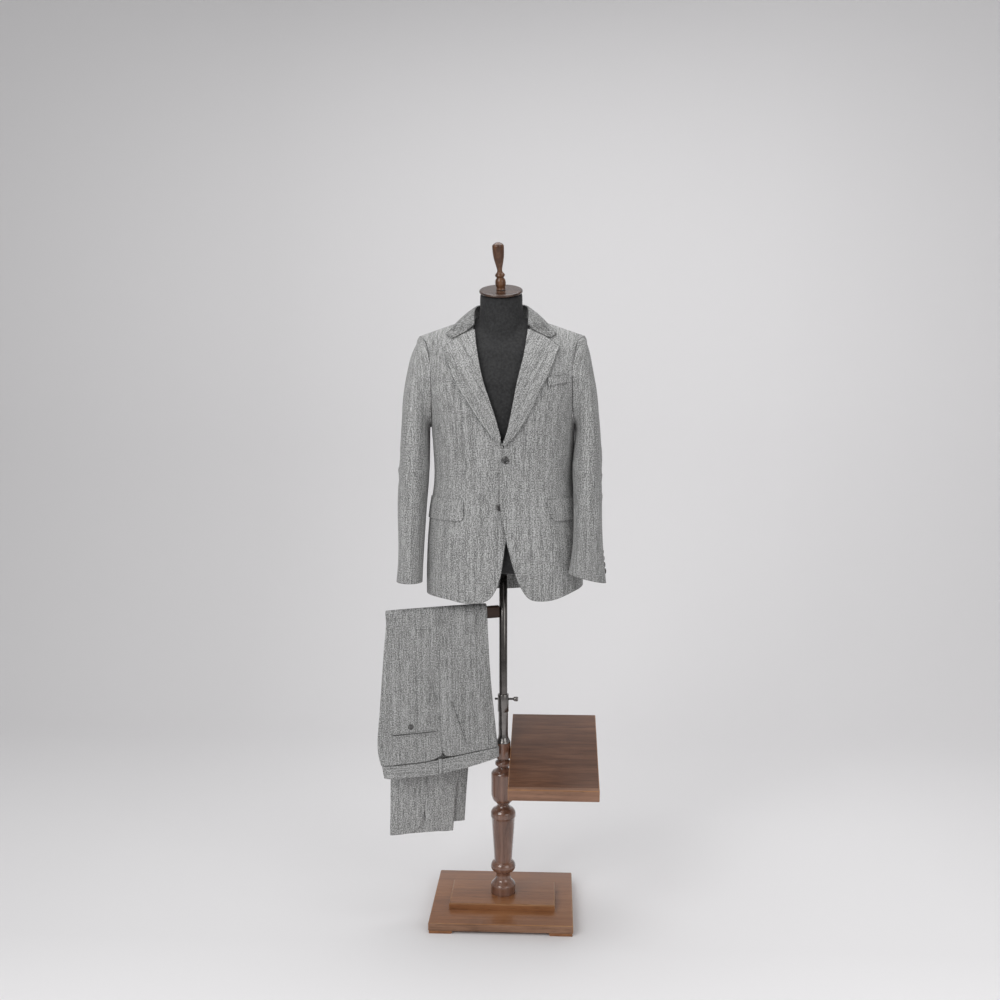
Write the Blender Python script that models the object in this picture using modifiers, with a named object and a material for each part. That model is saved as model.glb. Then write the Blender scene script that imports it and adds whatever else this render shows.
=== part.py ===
"""A two-piece suit on a limbless dress-form stand.

The jacket is worn by the form, and the trousers hang folded over the arm of the stand.
Left and right are the wearer's: the wearer's left is at +X, and the front faces -Y.
All heights are above the floor, and all other places are measured from the mast's axis.
"""

import math

import bmesh
import bpy
import numpy as np
from mathutils import Matrix, Vector

# Where the mast stands, so that the whole object is centred on the origin.
MAST_X = 0.0284
MAST_Y = 0.0142

# Cloth and the gaps between pieces.
CLOTH = 0.0020
SEAM = 0.00032
LIFT = 0.0011  # from a panel to what lies on it
LAPEL_WALL = 0.0020
LAPEL_ROLL = 0.0016  # radius of the rolled edge, at the middle of the wall
ROLL_SHORT = 0.0046  # how far a front stops from the roll

# The body of the jacket. Its sections are ovals of this power.
BODY_POWER = 2.4
FRONT_TURN = 0.220  # height over which the front turns in to the shoulder seam
BACK_TURN = 0.120
FRONT_TURN_POWER = 1.43
RIDGE_OUTER = 0.2235  # the shoulder point
RIDGE_OUTER_HEIGHT = 1.5795
RIDGE_SLOPE = 0.345
RIDGE_NECK = 0.0640  # the shoulder line is level inside this

BODY_COLUMNS = ("height", "half_width", "front", "back", "shift")
BODY_SECTIONS = (
    (0.850, 0.2120, 0.1260, 0.1240, 0.0040),
    (0.940, 0.2125, 0.1270, 0.1250, 0.0040),
    (1.030, 0.2090, 0.1240, 0.1210, 0.0030),
    (1.130, 0.1970, 0.1170, 0.1080, 0.0015),
    (1.209, 0.1845, 0.1130, 0.0990, 0.0000),
    (1.287, 0.1880, 0.1190, 0.1040, -0.0005),
    (1.340, 0.1915, 0.1240, 0.1110, -0.0010),
    (1.400, 0.1990, 0.1260, 0.1170, -0.0020),
    (1.455, 0.2060, 0.1250, 0.1190, -0.0030),
    (1.520, 0.2220, 0.1220, 0.1180, -0.0040),
    (1.580, 0.2335, 0.1200, 0.1170, -0.0040),
    (1.640, 0.2380, 0.1200, 0.1170, -0.0040),
)

# Soft folds of the jacket's body, as ridges (or troughs, below zero) in its outer surface.
FOLD_COLUMNS = ("angle", "lean", "low", "high", "width", "rise")
BODY_FOLDS = (
    (-38.0, -9.0, 0.95, 1.22, 7.0, 0.0022),
    (-52.0, 5.0, 1.02, 1.30, 6.0, -0.0022),
    (34.0, 8.0, 0.93, 1.20, 7.0, 0.0024),
    (50.0, -4.0, 1.00, 1.28, 6.0, -0.0020),
    (118.0, 5.0, 0.93, 1.18, 9.0, 0.0030),
    (-122.0, -5.0, 0.92, 1.20, 9.0, 0.0030),
    (150.0, 8.0, 1.12, 1.30, 12.0, -0.0026),
    (-150.0, -8.0, 1.12, 1.30, 12.0, -0.0026),
)

# The hem's height round the jacket, by the angle from the centre front.
HEM_COLUMNS = ("angle", "height")
HEM = (
    (-180.0, 0.880),
    (-130.0, 0.885),
    (-90.0, 0.894),
    (-60.0, 0.892),
    (-40.0, 0.888),
    (-22.0, 0.878),
    (-13.0, 0.8775),
    (0.0, 0.885),
    (20.0, 0.884),
    (32.0, 0.887),
    (45.0, 0.897),
    (60.0, 0.908),
    (90.0, 0.916),
    (130.0, 0.900),
    (180.0, 0.880),
)

# Half of the armhole seam, from the shoulder down to the underarm.
ARMHOLE_COLUMNS = ("along", "front_angle", "front_level", "back_angle", "back_level")
SHOULDER_POINT = 0.2195
ARMHOLE_ROWS = (
    (0.10, 62.9, 1.556, 62.5, 1.560),
    (0.25, 61.6, 1.520, 60.5, 1.528),
    (0.42, 62.3, 1.478, 60.5, 1.490),
    (0.58, 64.5, 1.435, 62.5, 1.445),
    (0.72, 68.0, 1.392, 67.0, 1.398),
    (0.85, 75.5, 1.354, 75.0, 1.356),
    (1.00, 90.0, 1.335, 90.0, 1.335),
)
ARMHOLE_SIDES = 20
FRONT_SIDES = 7  # of them on a front panel, and as many on a back panel
SIDE_ROWS = 11  # rows of a panel below the armhole

# The front edges, from the corner at the hem up to the neck: distance from the middle by height.
EDGE_COLUMNS = ("height", "across")
LEFT_EDGE = (
    (0.8928, 0.0640),
    (0.9060, 0.0510),
    (0.9240, 0.0435),
    (0.9580, 0.0330),
    (0.9900, 0.0235),
    (1.0180, 0.0165),
    (1.0550, 0.0090),
    (1.0836, 0.0035),
    (1.1070, -0.0015),
    (1.1300, -0.0040),
    (1.1900, -0.0052),
    (1.2440, -0.0030),
    (1.2880, 0.0030),
    (1.3239, 0.0155),
    (1.3599, 0.0237),
    (1.4160, 0.0359),
    (1.4626, 0.0448),
    (1.5216, 0.0605),
    (1.5752, 0.0685),
    (1.6000, 0.0710),
)
RIGHT_EDGE = (
    (0.8900, -0.0300),
    (0.8994, -0.0210),
    (0.9232, -0.0120),
    (0.9496, -0.0040),
    (1.0205, 0.0045),
    (1.0500, 0.0110),
    (1.0900, 0.0180),
    (1.1300, 0.0220),
    (1.1900, 0.0235),
    (1.2440, 0.0225),
    (1.2740, 0.0140),
    (1.2980, 0.0030),
    (1.3213, -0.0030),
    (1.3598, -0.0125),
    (1.4111, -0.0285),
    (1.4549, -0.0433),
    (1.5218, -0.0580),
    (1.5755, -0.0665),
    (1.6000, -0.0695),
)
NECK_POINT = 0.0760
LEFT_BREAK = 1.2900  # where the lapel's roll begins
RIGHT_BREAK = 1.3080
GORGE_HEIGHT = 1.5980  # where the roll line meets the collar

# The left front laps over the right one, and hangs further off it below the fastened button.
LAP_FULL = 0.034
LAP_END = 0.085
LAP_TOP = 1.300
LAP_TOP_END = 1.370
LAP_NEAR = CLOTH + 0.0009
LAP_FAR = CLOTH + 0.0060
LAP_FAR_TOP = 1.215
LAP_FAR_END = 1.155

# Lapels: how far the outer edge stands from the middle, by height.
LEFT_LAPEL = (
    (1.2900, 0.0085),
    (1.2933, 0.0125),
    (1.3139, 0.0325),
    (1.3447, 0.0560),
    (1.3882, 0.0800),
    (1.4419, 0.1050),
    (1.4700, 0.1215),
    (1.5031, 0.1345),
    (1.5286, 0.1435),
    (1.5500, 0.1520),
)
RIGHT_LAPEL = (
    (1.2875, -0.0020),
    (1.3215, -0.0290),
    (1.3497, -0.0505),
    (1.3958, -0.0785),
    (1.4317, -0.1030),
    (1.4753, -0.1250),
    (1.5174, -0.1400),
    (1.5460, -0.1520),
)
GORGE_BOW = 0.0055
LAPEL_ROWS = 12
LAPEL_STEPS = 4

# The collar, from the centre back (0) to its front edge (1). The roll is its highest line,
# the seam joins it to the neck, and the edge is the lower edge of the leaf, on the body.
COLLAR_COLUMNS = ("along", "roll_x", "roll_y", "roll_z", "edge_x", "edge_drop")
COLLAR = (
    (0.00, 0.0000, 0.0640, 1.6680, 0.0000, -0.0650),
    (0.15, 0.0290, 0.0590, 1.6680, 0.0340, -0.0640),
    (0.30, 0.0530, 0.0430, 1.6665, 0.0670, -0.0570),
    (0.42, 0.0665, 0.0200, 1.6630, 0.0930, -0.0380),
    (0.54, 0.0725, -0.0060, 1.6540, 0.1120, -0.0010),
    (0.66, 0.0730, -0.0310, 1.6350, 0.1230, 0.0360),
    (0.78, 0.0725, -0.0555, 1.6060, 0.1320, 0.0510),
    (0.89, 0.1000, -0.0560, 1.5840, 0.1400, 0.0580),
    (1.00, 0.1285, -0.0600, 1.5715, 0.1465, 0.0630),
)
STAND_COLUMNS = ("along", "seam_x", "seam_y", "seam_z")
STAND = (
    (0.00, 0.0000, 0.0585, 1.6190),
    (0.15, 0.0280, 0.0545, 1.6195),
    (0.30, 0.0500, 0.0400, 1.6230),
    (0.42, 0.0635, 0.0200, 1.6275),
    (0.54, 0.0700, -0.0050, 1.6290),
    (0.66, 0.0710, -0.0280, 1.6190),
    (0.76, 0.0705, -0.0470, 1.6060),
)
COLLAR_STANDS_TO = 0.76
COLLAR_STATIONS = (0.0, 0.13, 0.26, 0.38, 0.49, 0.60, 0.69, 0.76, 0.83, 0.91, 1.0)
COLLAR_LIES_FROM = 0.86
COLLAR_BULGE = 0.0055
COLLAR_RISE = 0.0020
GORGE_GAP = 0.0028

# Pockets.
FLAP_FRONT = {1: (0.1130, 0.1280), -1: (0.1000, 0.1000)}  # across, at its top and its lower edge
FLAP_WIDTH = 0.150
FLAP_TOP = 1.1520
FLAP_RISE = 0.030  # of its back end over its front end, as a slope
FLAP_DEPTH = 0.058
CORNER_SHARE = 0.055  # of a flap's width, where its rounded corner ends
WELT_LOW = (0.1215, 1.4460)
WELT_HIGH = (0.1740, 1.4560)
WELT_DEPTH = 0.0230

# Buttons.
BUTTON_RADIUS = 0.0100
BUTTON_DEPTH = 0.0034
CUFF_BUTTON_RADIUS = 0.0075
CUFF_BUTTON_DEPTH = 0.0028
BUTTON_SIDES = 14
CUFF_BUTTON_SIDES = 10
BUTTON_UPPER = (0.0112, 1.2566)
BUTTON_LOWER = (-0.0045, 1.1332)
CUFF_BUTTON_LOWEST = 0.028  # above the hem of the cuff
CUFF_BUTTON_STEP = 0.0160
CUFF_BUTTONS = 4

# Sleeves below the underarm: outer and inner edge from the middle, depth, and twist in degrees.
SLEEVE_COLUMNS = ("height", "outer", "inner", "middle_y", "half_depth", "twist", "tip")
SLEEVE_LEFT = (
    (1.3320, 0.2595, 0.1945, -0.0080, 0.0815, 0.0, 0.000),
    (1.2800, 0.2625, 0.1895, -0.0140, 0.0820, 4.0, 0.000),
    (1.2060, 0.2635, 0.1865, -0.0400, 0.0755, 12.0, 0.000),
    (1.1040, 0.2635, 0.1880, -0.0740, 0.0650, 24.0, 0.000),
    (1.0150, 0.2670, 0.1850, -0.0950, 0.0510, 38.0, -0.002),
    (0.9700, 0.2720, 0.1770, -0.1020, 0.0430, 48.0, -0.008),
    (0.9480, 0.2745, 0.1735, -0.1040, 0.0385, 52.0, -0.012),
)
SLEEVE_RIGHT = (
    (1.3320, 0.2735, 0.1965, -0.0060, 0.0815, 0.0, 0.000),
    (1.2800, 0.2765, 0.1965, -0.0090, 0.0820, 3.0, 0.000),
    (1.2040, 0.2805, 0.1980, -0.0180, 0.0745, 8.0, 0.000),
    (1.1420, 0.2825, 0.2030, -0.0280, 0.0680, 12.0, 0.000),
    (1.0630, 0.2805, 0.2070, -0.0420, 0.0600, 16.0, 0.000),
    (1.0110, 0.2780, 0.2095, -0.0500, 0.0560, 20.0, 0.000),
    (0.9620, 0.2795, 0.2120, -0.0570, 0.0530, 22.0, 0.000),
    (0.9285, 0.2830, 0.2130, -0.0600, 0.0505, 24.0, 0.001),
)
HEAD_COLUMNS = ("height", "outer")
HEAD_LEFT = (
    (1.3320, 0.2595),
    (1.3367, 0.2591),
    (1.4110, 0.2522),
    (1.4506, 0.2466),
    (1.4980, 0.2396),
    (1.5400, 0.2327),
    (1.5637, 0.2262),
    (1.5760, 0.2180),
)
HEAD_RIGHT = (
    (1.3320, 0.2735),
    (1.4000, 0.2700),
    (1.4375, 0.2658),
    (1.4830, 0.2600),
    (1.5280, 0.2517),
    (1.5437, 0.2460),
    (1.5620, 0.2365),
    (1.5765, 0.2260),
)
HEAD_HEIGHTS = (1.564, 1.536, 1.500, 1.461, 1.421, 1.378)
UNDERARM_RADIUS = 0.0032
ARMHOLE_SEAM = 0.0010
SLEEVE_STEPS = 9
SLEEVE_CLEAR = 0.0065
SEAM_FRONT_INDEX = 8  # which sides of the ring the two sleeve seams lie on
SEAM_BACK_INDEX = 16
SLEEVE_FOLD_COLUMNS = ("height", "side", "rise", "length", "width")
SLEEVE_FOLDS = (
    (1.225, 125.0, 0.0035, 0.022, 45.0),
    (1.175, 110.0, -0.0030, 0.016, 40.0),
    (1.135, 130.0, 0.0030, 0.018, 45.0),
    (1.300, 60.0, 0.0025, 0.030, 35.0),
    (1.050, 60.0, -0.0022, 0.030, 35.0),
)

# The dress form.
FORM_COLUMNS = ("height", "half_width", "front", "back", "shift")
FORM_SECTIONS = (
    (0.930, 0.1760, 0.1060, 0.1040, 0.0020),
    (1.000, 0.1840, 0.1120, 0.1090, 0.0020),
    (1.100, 0.1760, 0.1060, 0.1000, 0.0010),
    (1.209, 0.1650, 0.0990, 0.0860, 0.0000),
    (1.330, 0.1730, 0.1100, 0.0980, -0.0010),
    (1.400, 0.1760, 0.1140, 0.1050, -0.0020),
    (1.455, 0.1780, 0.1130, 0.1070, -0.0030),
    (1.520, 0.1830, 0.1080, 0.1050, -0.0040),
    (1.580, 0.1850, 0.1050, 0.1030, -0.0040),
    (1.640, 0.1850, 0.1050, 0.1030, -0.0040),
)
FORM_BOTTOM = 0.9550
FORM_SIDES = 28
FORM_UNDER_RIDGE = 0.0046
FORM_SHOULDER = 0.160  # the form's shoulder rounds down outside this
FORM_SHOULDER_DROP = 22.0
NECK_COLUMNS = ("height", "half_width", "front", "back", "middle_x")
NECK_SECTIONS = (
    (1.560, 0.0700, 0.0640, 0.0560, -0.0040),
    (1.600, 0.0640, 0.0600, 0.0520, -0.0040),
    (1.630, 0.0590, 0.0570, 0.0490, -0.0045),
    (1.660, 0.0570, 0.0560, 0.0480, -0.0055),
    (1.6940, 0.0570, 0.0560, 0.0480, -0.0055),
)
NECK_SIDES = 24
NECK_TOP = 1.6940
NECK_TILT = 20.0
CAP_RADIUS = 0.0580
CAP_DEPTH = 0.0080
CAP_SIDES = 28
CAP_MIDDLE = (-0.0060, -0.0040)

# Stand: the mast and its post.
POST_SIDES = 18
TUBE_SIDES = 20
INNER_TUBE_RADIUS = 0.0110
INNER_TUBE_WALL = 0.0016
INNER_TUBE_LOW = 0.1900
INNER_TUBE_HIGH = 1.0300
BORE_RADIUS = 0.0115
BORE_LOW = 0.1850
LOWER_TUBE_RADIUS = 0.0130
FERRULE_LOW = 0.4733
COLLAR_LOW = 0.5600
COLLAR_HIGH = 0.6090
COLLAR_RADIUS = 0.0150
SCREW_HEIGHT = 0.5890
SCREW_BACK = 0.0215
SCREW_RADIUS = 0.0030
POST_COLUMNS = ("height", "radius")
POST_PROFILE = (
    (0.4730, 0.0200),
    (0.4300, 0.0200),
    (0.4260, 0.0150),
    (0.4180, 0.0220),
    (0.4120, 0.0225),
    (0.4040, 0.0148),
    (0.3980, 0.0200),
    (0.3930, 0.0290),
    (0.3860, 0.0332),
    (0.3270, 0.0332),
    (0.3120, 0.0285),
    (0.3040, 0.0205),
    (0.2980, 0.0165),
    (0.2920, 0.0190),
    (0.2860, 0.0288),
    (0.2740, 0.0345),
    (0.2660, 0.0345),
    (0.2600, 0.0322),
    (0.1380, 0.0242),
    (0.1340, 0.0305),
    (0.1230, 0.0343),
    (0.1120, 0.0305),
    (0.1060, 0.0220),
    (0.0980, 0.0198),
    (0.0860, 0.0225),
    (0.0790, 0.0282),
    (0.0710, 0.0340),
    (0.0473, 0.0340),
)

# Stand: the base, the shelf and the arm.
RUNNER_SIZE = (0.0620, 0.3390, 0.0075)
RUNNER_OUT = 0.1595
BASE_SIZE = (0.3850, 0.3390, 0.0210)
BASE_Y = 0.0085
STEP_SIZE = (0.2880, 0.1520, 0.0177)
STEP_Y = -0.0030
SHELF_LEFT = 0.0206
SHELF_WIDTH = 0.2370
SHELF_LENGTH = 0.3640
SHELF_WALL = 0.0140
SHELF_TILT = 16.0
SHELF_FRONT = (-0.2000, 0.4100)  # its front top edge, across and up
SHELF_LIP_DEPTH = 0.0340
SHELF_LIP_WALL = 0.0140
BEARER_SIZE = (0.0900, 0.0460, 0.0260)
ARM_SIZE = (0.3020, 0.0190, 0.0330)
ARM_START = 0.0118
ARM_HEIGHT = 0.8385
ARM_YAW = 15.0
ARM_SAG = 2.0

# Finial profile, from its tip down to its foot on the neck cap.
FINIAL_SIDES = 16
FINIAL = (
    (0.1246, 0.0000),
    (0.1232, 0.0052),
    (0.1210, 0.0098),
    (0.1184, 0.0133),
    (0.1154, 0.0152),
    (0.1120, 0.0156),
    (0.1014, 0.0153),
    (0.0860, 0.0139),
    (0.0757, 0.0121),
    (0.0654, 0.0096),
    (0.0551, 0.0073),
    (0.0500, 0.0067),
    (0.0448, 0.0082),
    (0.0410, 0.0118),
    (0.0372, 0.0132),
    (0.0340, 0.0114),
    (0.0314, 0.0094),
    (0.0290, 0.0106),
    (0.0240, 0.0133),
    (0.0165, 0.0141),
    (0.0100, 0.0130),
    (0.0049, 0.0114),
    (0.0024, 0.0122),
    (0.0003, 0.0128),
)
FINIAL_LEAN = 3.0

# Trousers, in the arm's own frame: along the arm from the mast, towards the viewer, and up.
LEG_COLUMNS = (
    "travel",
    "outer_near",
    "outer_far",
    "inner_near",
    "inner_far",
    "outer_off",
    "inner_off",
    "outer_half",
    "inner_half",
)
# Travel is zero where the cloth turns over the arm, and grows down both sides of it.
FRONT_ROWS = (
    (0.000, 0.048, 0.320, 0.048, 0.320, 0.0159, 0.0122, 0.0017, 0.0015),
    (0.080, 0.045, 0.329, 0.048, 0.322, 0.0190, 0.0129, 0.0030, 0.0022),
    (0.160, 0.041, 0.336, 0.046, 0.330, 0.0220, 0.0134, 0.0042, 0.0032),
    (0.240, 0.034, 0.343, 0.040, 0.338, 0.0255, 0.0148, 0.0054, 0.0043),
    (0.300, 0.028, 0.3500, 0.035, 0.3450, 0.0279, 0.0159, 0.0060, 0.0050),
    (0.335, 0.0243, 0.3480, 0.0310, 0.3430, 0.0289, 0.0164, 0.0064, 0.0054),
    (0.360, 0.021, 0.3400, 0.028, 0.3350, 0.0295, 0.0168, 0.0066, 0.0056),
)
REAR_ROWS = (
    (0.000, 0.048, 0.320, 0.048, 0.320, 0.0159, 0.0122, 0.0017, 0.0015),
    (0.100, 0.055, 0.310, 0.062, 0.314, 0.0186, 0.0131, 0.0024, 0.0021),
    (0.220, 0.068, 0.300, 0.086, 0.311, 0.0205, 0.0135, 0.0027, 0.0024),
    (0.360, 0.084, 0.295, 0.110, 0.310, 0.0225, 0.0142, 0.0029, 0.0026),
    (0.480, 0.096, 0.293, 0.128, 0.310, 0.0235, 0.0146, 0.0030, 0.0027),
    (0.610, 0.104, 0.292, 0.138, 0.313, 0.0240, 0.0150, 0.0030, 0.0027),
)
ARM_TOP = 0.8550
FOLD_MIDDLE = 0.8455
FOLD_SLOPE = 0.035  # how much the fold drops for each metre along the arm
LEG_STATIONS_FRONT = (1.0, 0.93, 0.83, 0.667, 0.5, 0.333, 0.167, 0.0)  # from the waist up
LEG_STEPS_OVER = 6
LEG_STEPS_REAR = 6
HEM_OUTER = 0.2515
HEM_INNER = 0.2290
HEM_WALL = 0.0011
HEM_DEPTH = 0.0220
SIDE_SEAM = 0.47  # of the leg's width, from the fly edge
WAIST_COLUMNS = ("along", "seam", "hem")
WAIST_ROWS = (
    (0.015, 0.4735, 0.4430),
    (0.024, 0.4720, 0.4410),
    (0.112, 0.4610, 0.4200),
    (0.188, 0.4470, 0.4070),
    (0.260, 0.4420, 0.4040),
    (0.3265, 0.4400, 0.4026),
    (0.350, 0.4395, 0.4050),
)
BAND_NEAR = 0.0170
BAND_FAR = 0.3370
BAND_TAPER = 0.0060  # how much shorter its lower edge is at the far end
BAND_BACK = 0.0105
BAND_FRONT = 0.0375
BAND_WALL = 0.0030
BAND_STEPS = 9
WAIST_GAP = 0.0024
POCKET_LINE = ((0.190, 0.5256), (0.316, 0.5210))
POCKET_DEPTH = 0.0090
POCKET_BUTTON = (0.2600, 0.5420)
FRONT_POCKET = ((0.1485, 0.6066), (0.1070, 0.4800))
FRONT_POCKET_DEPTH = 0.0075
TROUSER_FOLD_COLUMNS = ("along", "low", "high", "lean", "width", "rise")
TROUSER_FOLDS = (
    (0.183, 0.49, 0.77, 0.02, 0.011, -0.0040),
    (0.232, 0.56, 0.74, 0.05, 0.012, -0.0032),
    (0.208, 0.50, 0.76, 0.03, 0.012, 0.0028),
    (0.085, 0.52, 0.80, -0.06, 0.020, 0.0020),
    (0.300, 0.52, 0.78, 0.05, 0.020, 0.0020),
)

WOOL_GREY = (0.27, 0.27, 0.27)
HORN_GREY = (0.16, 0.15, 0.14)
FORM_BLACK = (0.028, 0.028, 0.030)
WOOD_BROWN = (0.16, 0.075, 0.040)
CHROME = (0.42, 0.40, 0.38)


def clear_scene():
    for thing in list(bpy.data.objects):
        bpy.data.objects.remove(thing, do_unlink=True)


def make_material(name, colour, roughness, metallic=0.0):
    material = bpy.data.materials.new(name)
    material.use_nodes = True
    shader = material.node_tree.nodes["Principled BSDF"]
    shader.inputs["Base Color"].default_value = (*colour, 1.0)
    shader.inputs["Roughness"].default_value = roughness
    shader.inputs["Metallic"].default_value = metallic
    return material


def smooth_table(rows):
    """A function of the first column that gives every other column, with no overshoot."""
    table = np.array(rows, float)
    order = np.argsort(table[:, 0])
    table = table[order]
    xs, ys = table[:, 0], table[:, 1:]
    steps = np.diff(xs)[:, None]
    rates = np.diff(ys, axis=0) / steps
    slopes = np.zeros_like(ys)
    slopes[0], slopes[-1] = rates[0], rates[-1]
    both = rates[:-1] * rates[1:] > 0
    mean = 2 * rates[:-1] * rates[1:] / np.where(both, rates[:-1] + rates[1:], 1.0)
    slopes[1:-1] = np.where(both, mean, 0.0)

    def read(at):
        at = np.clip(np.asarray(at, float), xs[0], xs[-1])
        i = np.clip(np.searchsorted(xs, at) - 1, 0, len(xs) - 2)
        h = xs[i + 1] - xs[i]
        t = ((at - xs[i]) / h)[..., None]
        h = h[..., None]
        start, end = ys[i], ys[i + 1]
        return (
            (1 + 2 * t) * (1 - t) ** 2 * start
            + t * (1 - t) ** 2 * h * slopes[i]
            + t * t * (3 - 2 * t) * end
            + t * t * (t - 1) * h * slopes[i + 1]
        )

    return read


def step_between(value, start, end):
    """0 before start and 1 after end, with a smooth turn. Start may lie above end."""
    t = np.clip((value - start) / (end - start), 0.0, 1.0)
    return t * t * (3 - 2 * t)


def signed_power(value, power):
    return np.sign(value) * np.abs(value) ** power


def unit(vectors):
    lengths = np.linalg.norm(vectors, axis=-1, keepdims=True)
    return vectors / np.maximum(lengths, 1e-12)


def shoulder_ridge(across):
    """Height of the shoulder seam, which is level across the neck."""
    outward = np.sqrt(np.abs(across) ** 2 + 0.012**2)
    outward = np.maximum(outward, RIDGE_NECK)
    return RIDGE_OUTER_HEIGHT + RIDGE_SLOPE * (RIDGE_OUTER - outward)


def form_ridge(across):
    """The form's shoulder lies just inside the jacket's, and rounds down at the arm plates."""
    past = np.maximum(np.abs(across) - FORM_SHOULDER, 0.0)
    return shoulder_ridge(across) - FORM_UNDER_RIDGE - FORM_SHOULDER_DROP * past**2


READ_BODY = smooth_table(BODY_SECTIONS)
READ_FORM = smooth_table(FORM_SECTIONS)
READ_HEM = smooth_table(HEM)


def section_surface(angle, level, read, ridge):
    """Point of a torso. The angle runs from the centre front, and below the turn of the
    shoulder the level is the height."""
    radians = np.radians(angle)
    sine, cosine = np.sin(radians), np.cos(radians)
    values = read(level)
    half_width, front, back, shift = (values[..., i] for i in range(4))
    across = half_width * signed_power(sine, 2 / BODY_POWER)
    faces_front = cosine >= 0
    depth = np.where(faces_front, front, back) * np.abs(cosine) ** (2 / BODY_POWER)
    turn = np.where(faces_front, FRONT_TURN, BACK_TURN)
    top = ridge(across)
    below = top - level
    theta = np.clip(below / turn, 0.0, 1.0) * math.pi / 2
    height = np.where(below < turn, top - turn * (1 - np.cos(theta)), level)
    fullness = np.sin(theta) ** np.where(faces_front, FRONT_TURN_POWER, 1.0)
    return np.stack([across + shift, np.where(faces_front, -1, 1) * depth * fullness, height], -1)


def body_folds(angle, level):
    rise = 0.0
    for row in BODY_FOLDS:
        fold = dict(zip(FOLD_COLUMNS, row))
        part = (level - fold["low"]) / (fold["high"] - fold["low"])
        middle = fold["angle"] + fold["lean"] * (part - 0.5)
        lengthwise = np.sin(np.clip(part, 0, 1) * math.pi) ** 2
        rise = rise + fold["rise"] * lengthwise * np.exp(-(((angle - middle) / fold["width"]) ** 2))
    return rise


def wrap_angle(angle):
    return (np.asarray(angle, float) + 180.0) % 360.0 - 180.0


def body_point(angle, level, out=0.0):
    """Point of the jacket's body, moved out along its normal. The left side is at +X."""
    angle, level = np.broadcast_arrays(np.asarray(angle, float), np.asarray(level, float))
    point = section_surface(angle, level, READ_BODY, shoulder_ridge)
    a_step, l_step = 0.05, 0.0004
    along = section_surface(angle + a_step, level, READ_BODY, shoulder_ridge)
    along = along - section_surface(angle - a_step, level, READ_BODY, shoulder_ridge)
    up = point - section_surface(angle, level - l_step, READ_BODY, shoulder_ridge)
    normal = unit(np.cross(along, up))
    out = np.asarray(out, float) + body_folds(wrap_angle(angle), level)
    return point + normal * out[..., None]


def angle_at(across, level):
    """Front angle at a distance from the middle."""
    ratio = np.clip(np.asarray(across, float) / READ_BODY(level)[..., 0], -1, 1)
    return np.degrees(np.arcsin(signed_power(ratio, BODY_POWER / 2)))


def level_at(across, height):
    """Front level of a point with this height."""
    below = np.clip((shoulder_ridge(across) - height) / FRONT_TURN, 0.0, 1.0)
    turned = shoulder_ridge(across) - FRONT_TURN * np.arccos(1 - below) * 2 / math.pi
    return np.where(below < 1.0, turned, height)


def front_place(across, height):
    """(angle, level) of a front point given as it is seen from the front."""
    level = level_at(across, height)
    return np.stack([angle_at(across, level), level], -1)


def shoulder_place(across, drop, back=False):
    """(angle, level) of a point this far down from the shoulder ridge."""
    level = shoulder_ridge(across) - drop
    angle = angle_at(across, level)
    if back:
        angle = np.sign(across) * 180.0 - angle
    return np.stack([angle, level], -1)


def armhole_places(side):
    """(angle, level) round the armhole seam: 0 at the shoulder, then the front, the underarm
    and the back."""
    top = shoulder_place(np.array(SHOULDER_POINT), 0.0)
    first = (0.0, float(top[0]), float(top[1]), float(top[0]), float(top[1]))
    read = smooth_table((first, *ARMHOLE_ROWS))
    dense = np.linspace(0, 1, 400)
    values = read(dense)
    front = np.stack([values[:, 0], values[:, 1]], -1)
    back = np.stack([180.0 - values[:, 2], values[:, 3]], -1)
    loop = np.concatenate([front, back[::-1][1:]])
    points = body_point(loop[:, 0], loop[:, 1])
    middle_z = (points[:, 2].max() + points[:, 2].min()) / 2
    half_z = (points[:, 2].max() - points[:, 2].min()) / 2
    half_y = (points[:, 1].max() - points[:, 1].min()) / 2
    middle_y = (points[:, 1].max() + points[:, 1].min()) / 2
    round_it = np.arctan2(-(points[:, 1] - middle_y) / half_y, (points[:, 2] - middle_z) / half_z)
    round_it = np.unwrap(round_it)
    wanted = np.arange(ARMHOLE_SIDES + 1) * 2 * math.pi / ARMHOLE_SIDES
    round_it = round_it - round_it[0]
    round_it = round_it * (2 * math.pi / round_it[-1])
    angle = np.interp(wanted, round_it, loop[:, 0])
    level = np.interp(wanted, round_it, loop[:, 1])
    return np.stack([side * angle, level], -1)


def mesh_object(name, points, faces, material, smooth=True):
    mesh = bpy.data.meshes.new(name)
    mesh.from_pydata([tuple(map(float, p)) for p in points], [], [tuple(f) for f in faces])
    mesh.validate()
    mesh.update()
    thing = bpy.data.objects.new(name, mesh)
    PIECES.objects.link(thing)
    thing.parent = MAST
    mesh.materials.append(material)
    if smooth:
        mesh.shade_smooth()
        mesh.set_sharp_from_angle(angle=math.radians(40))
    return thing


def face_out(thing):
    """Turns the faces of a closed piece outwards."""
    shape = bmesh.new()
    shape.from_mesh(thing.data)
    bmesh.ops.recalc_face_normals(shape, faces=shape.faces)
    if shape.calc_volume(signed=True) < 0:
        bmesh.ops.reverse_faces(shape, faces=shape.faces)
    shape.to_mesh(thing.data)
    shape.free()
    return thing


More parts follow.
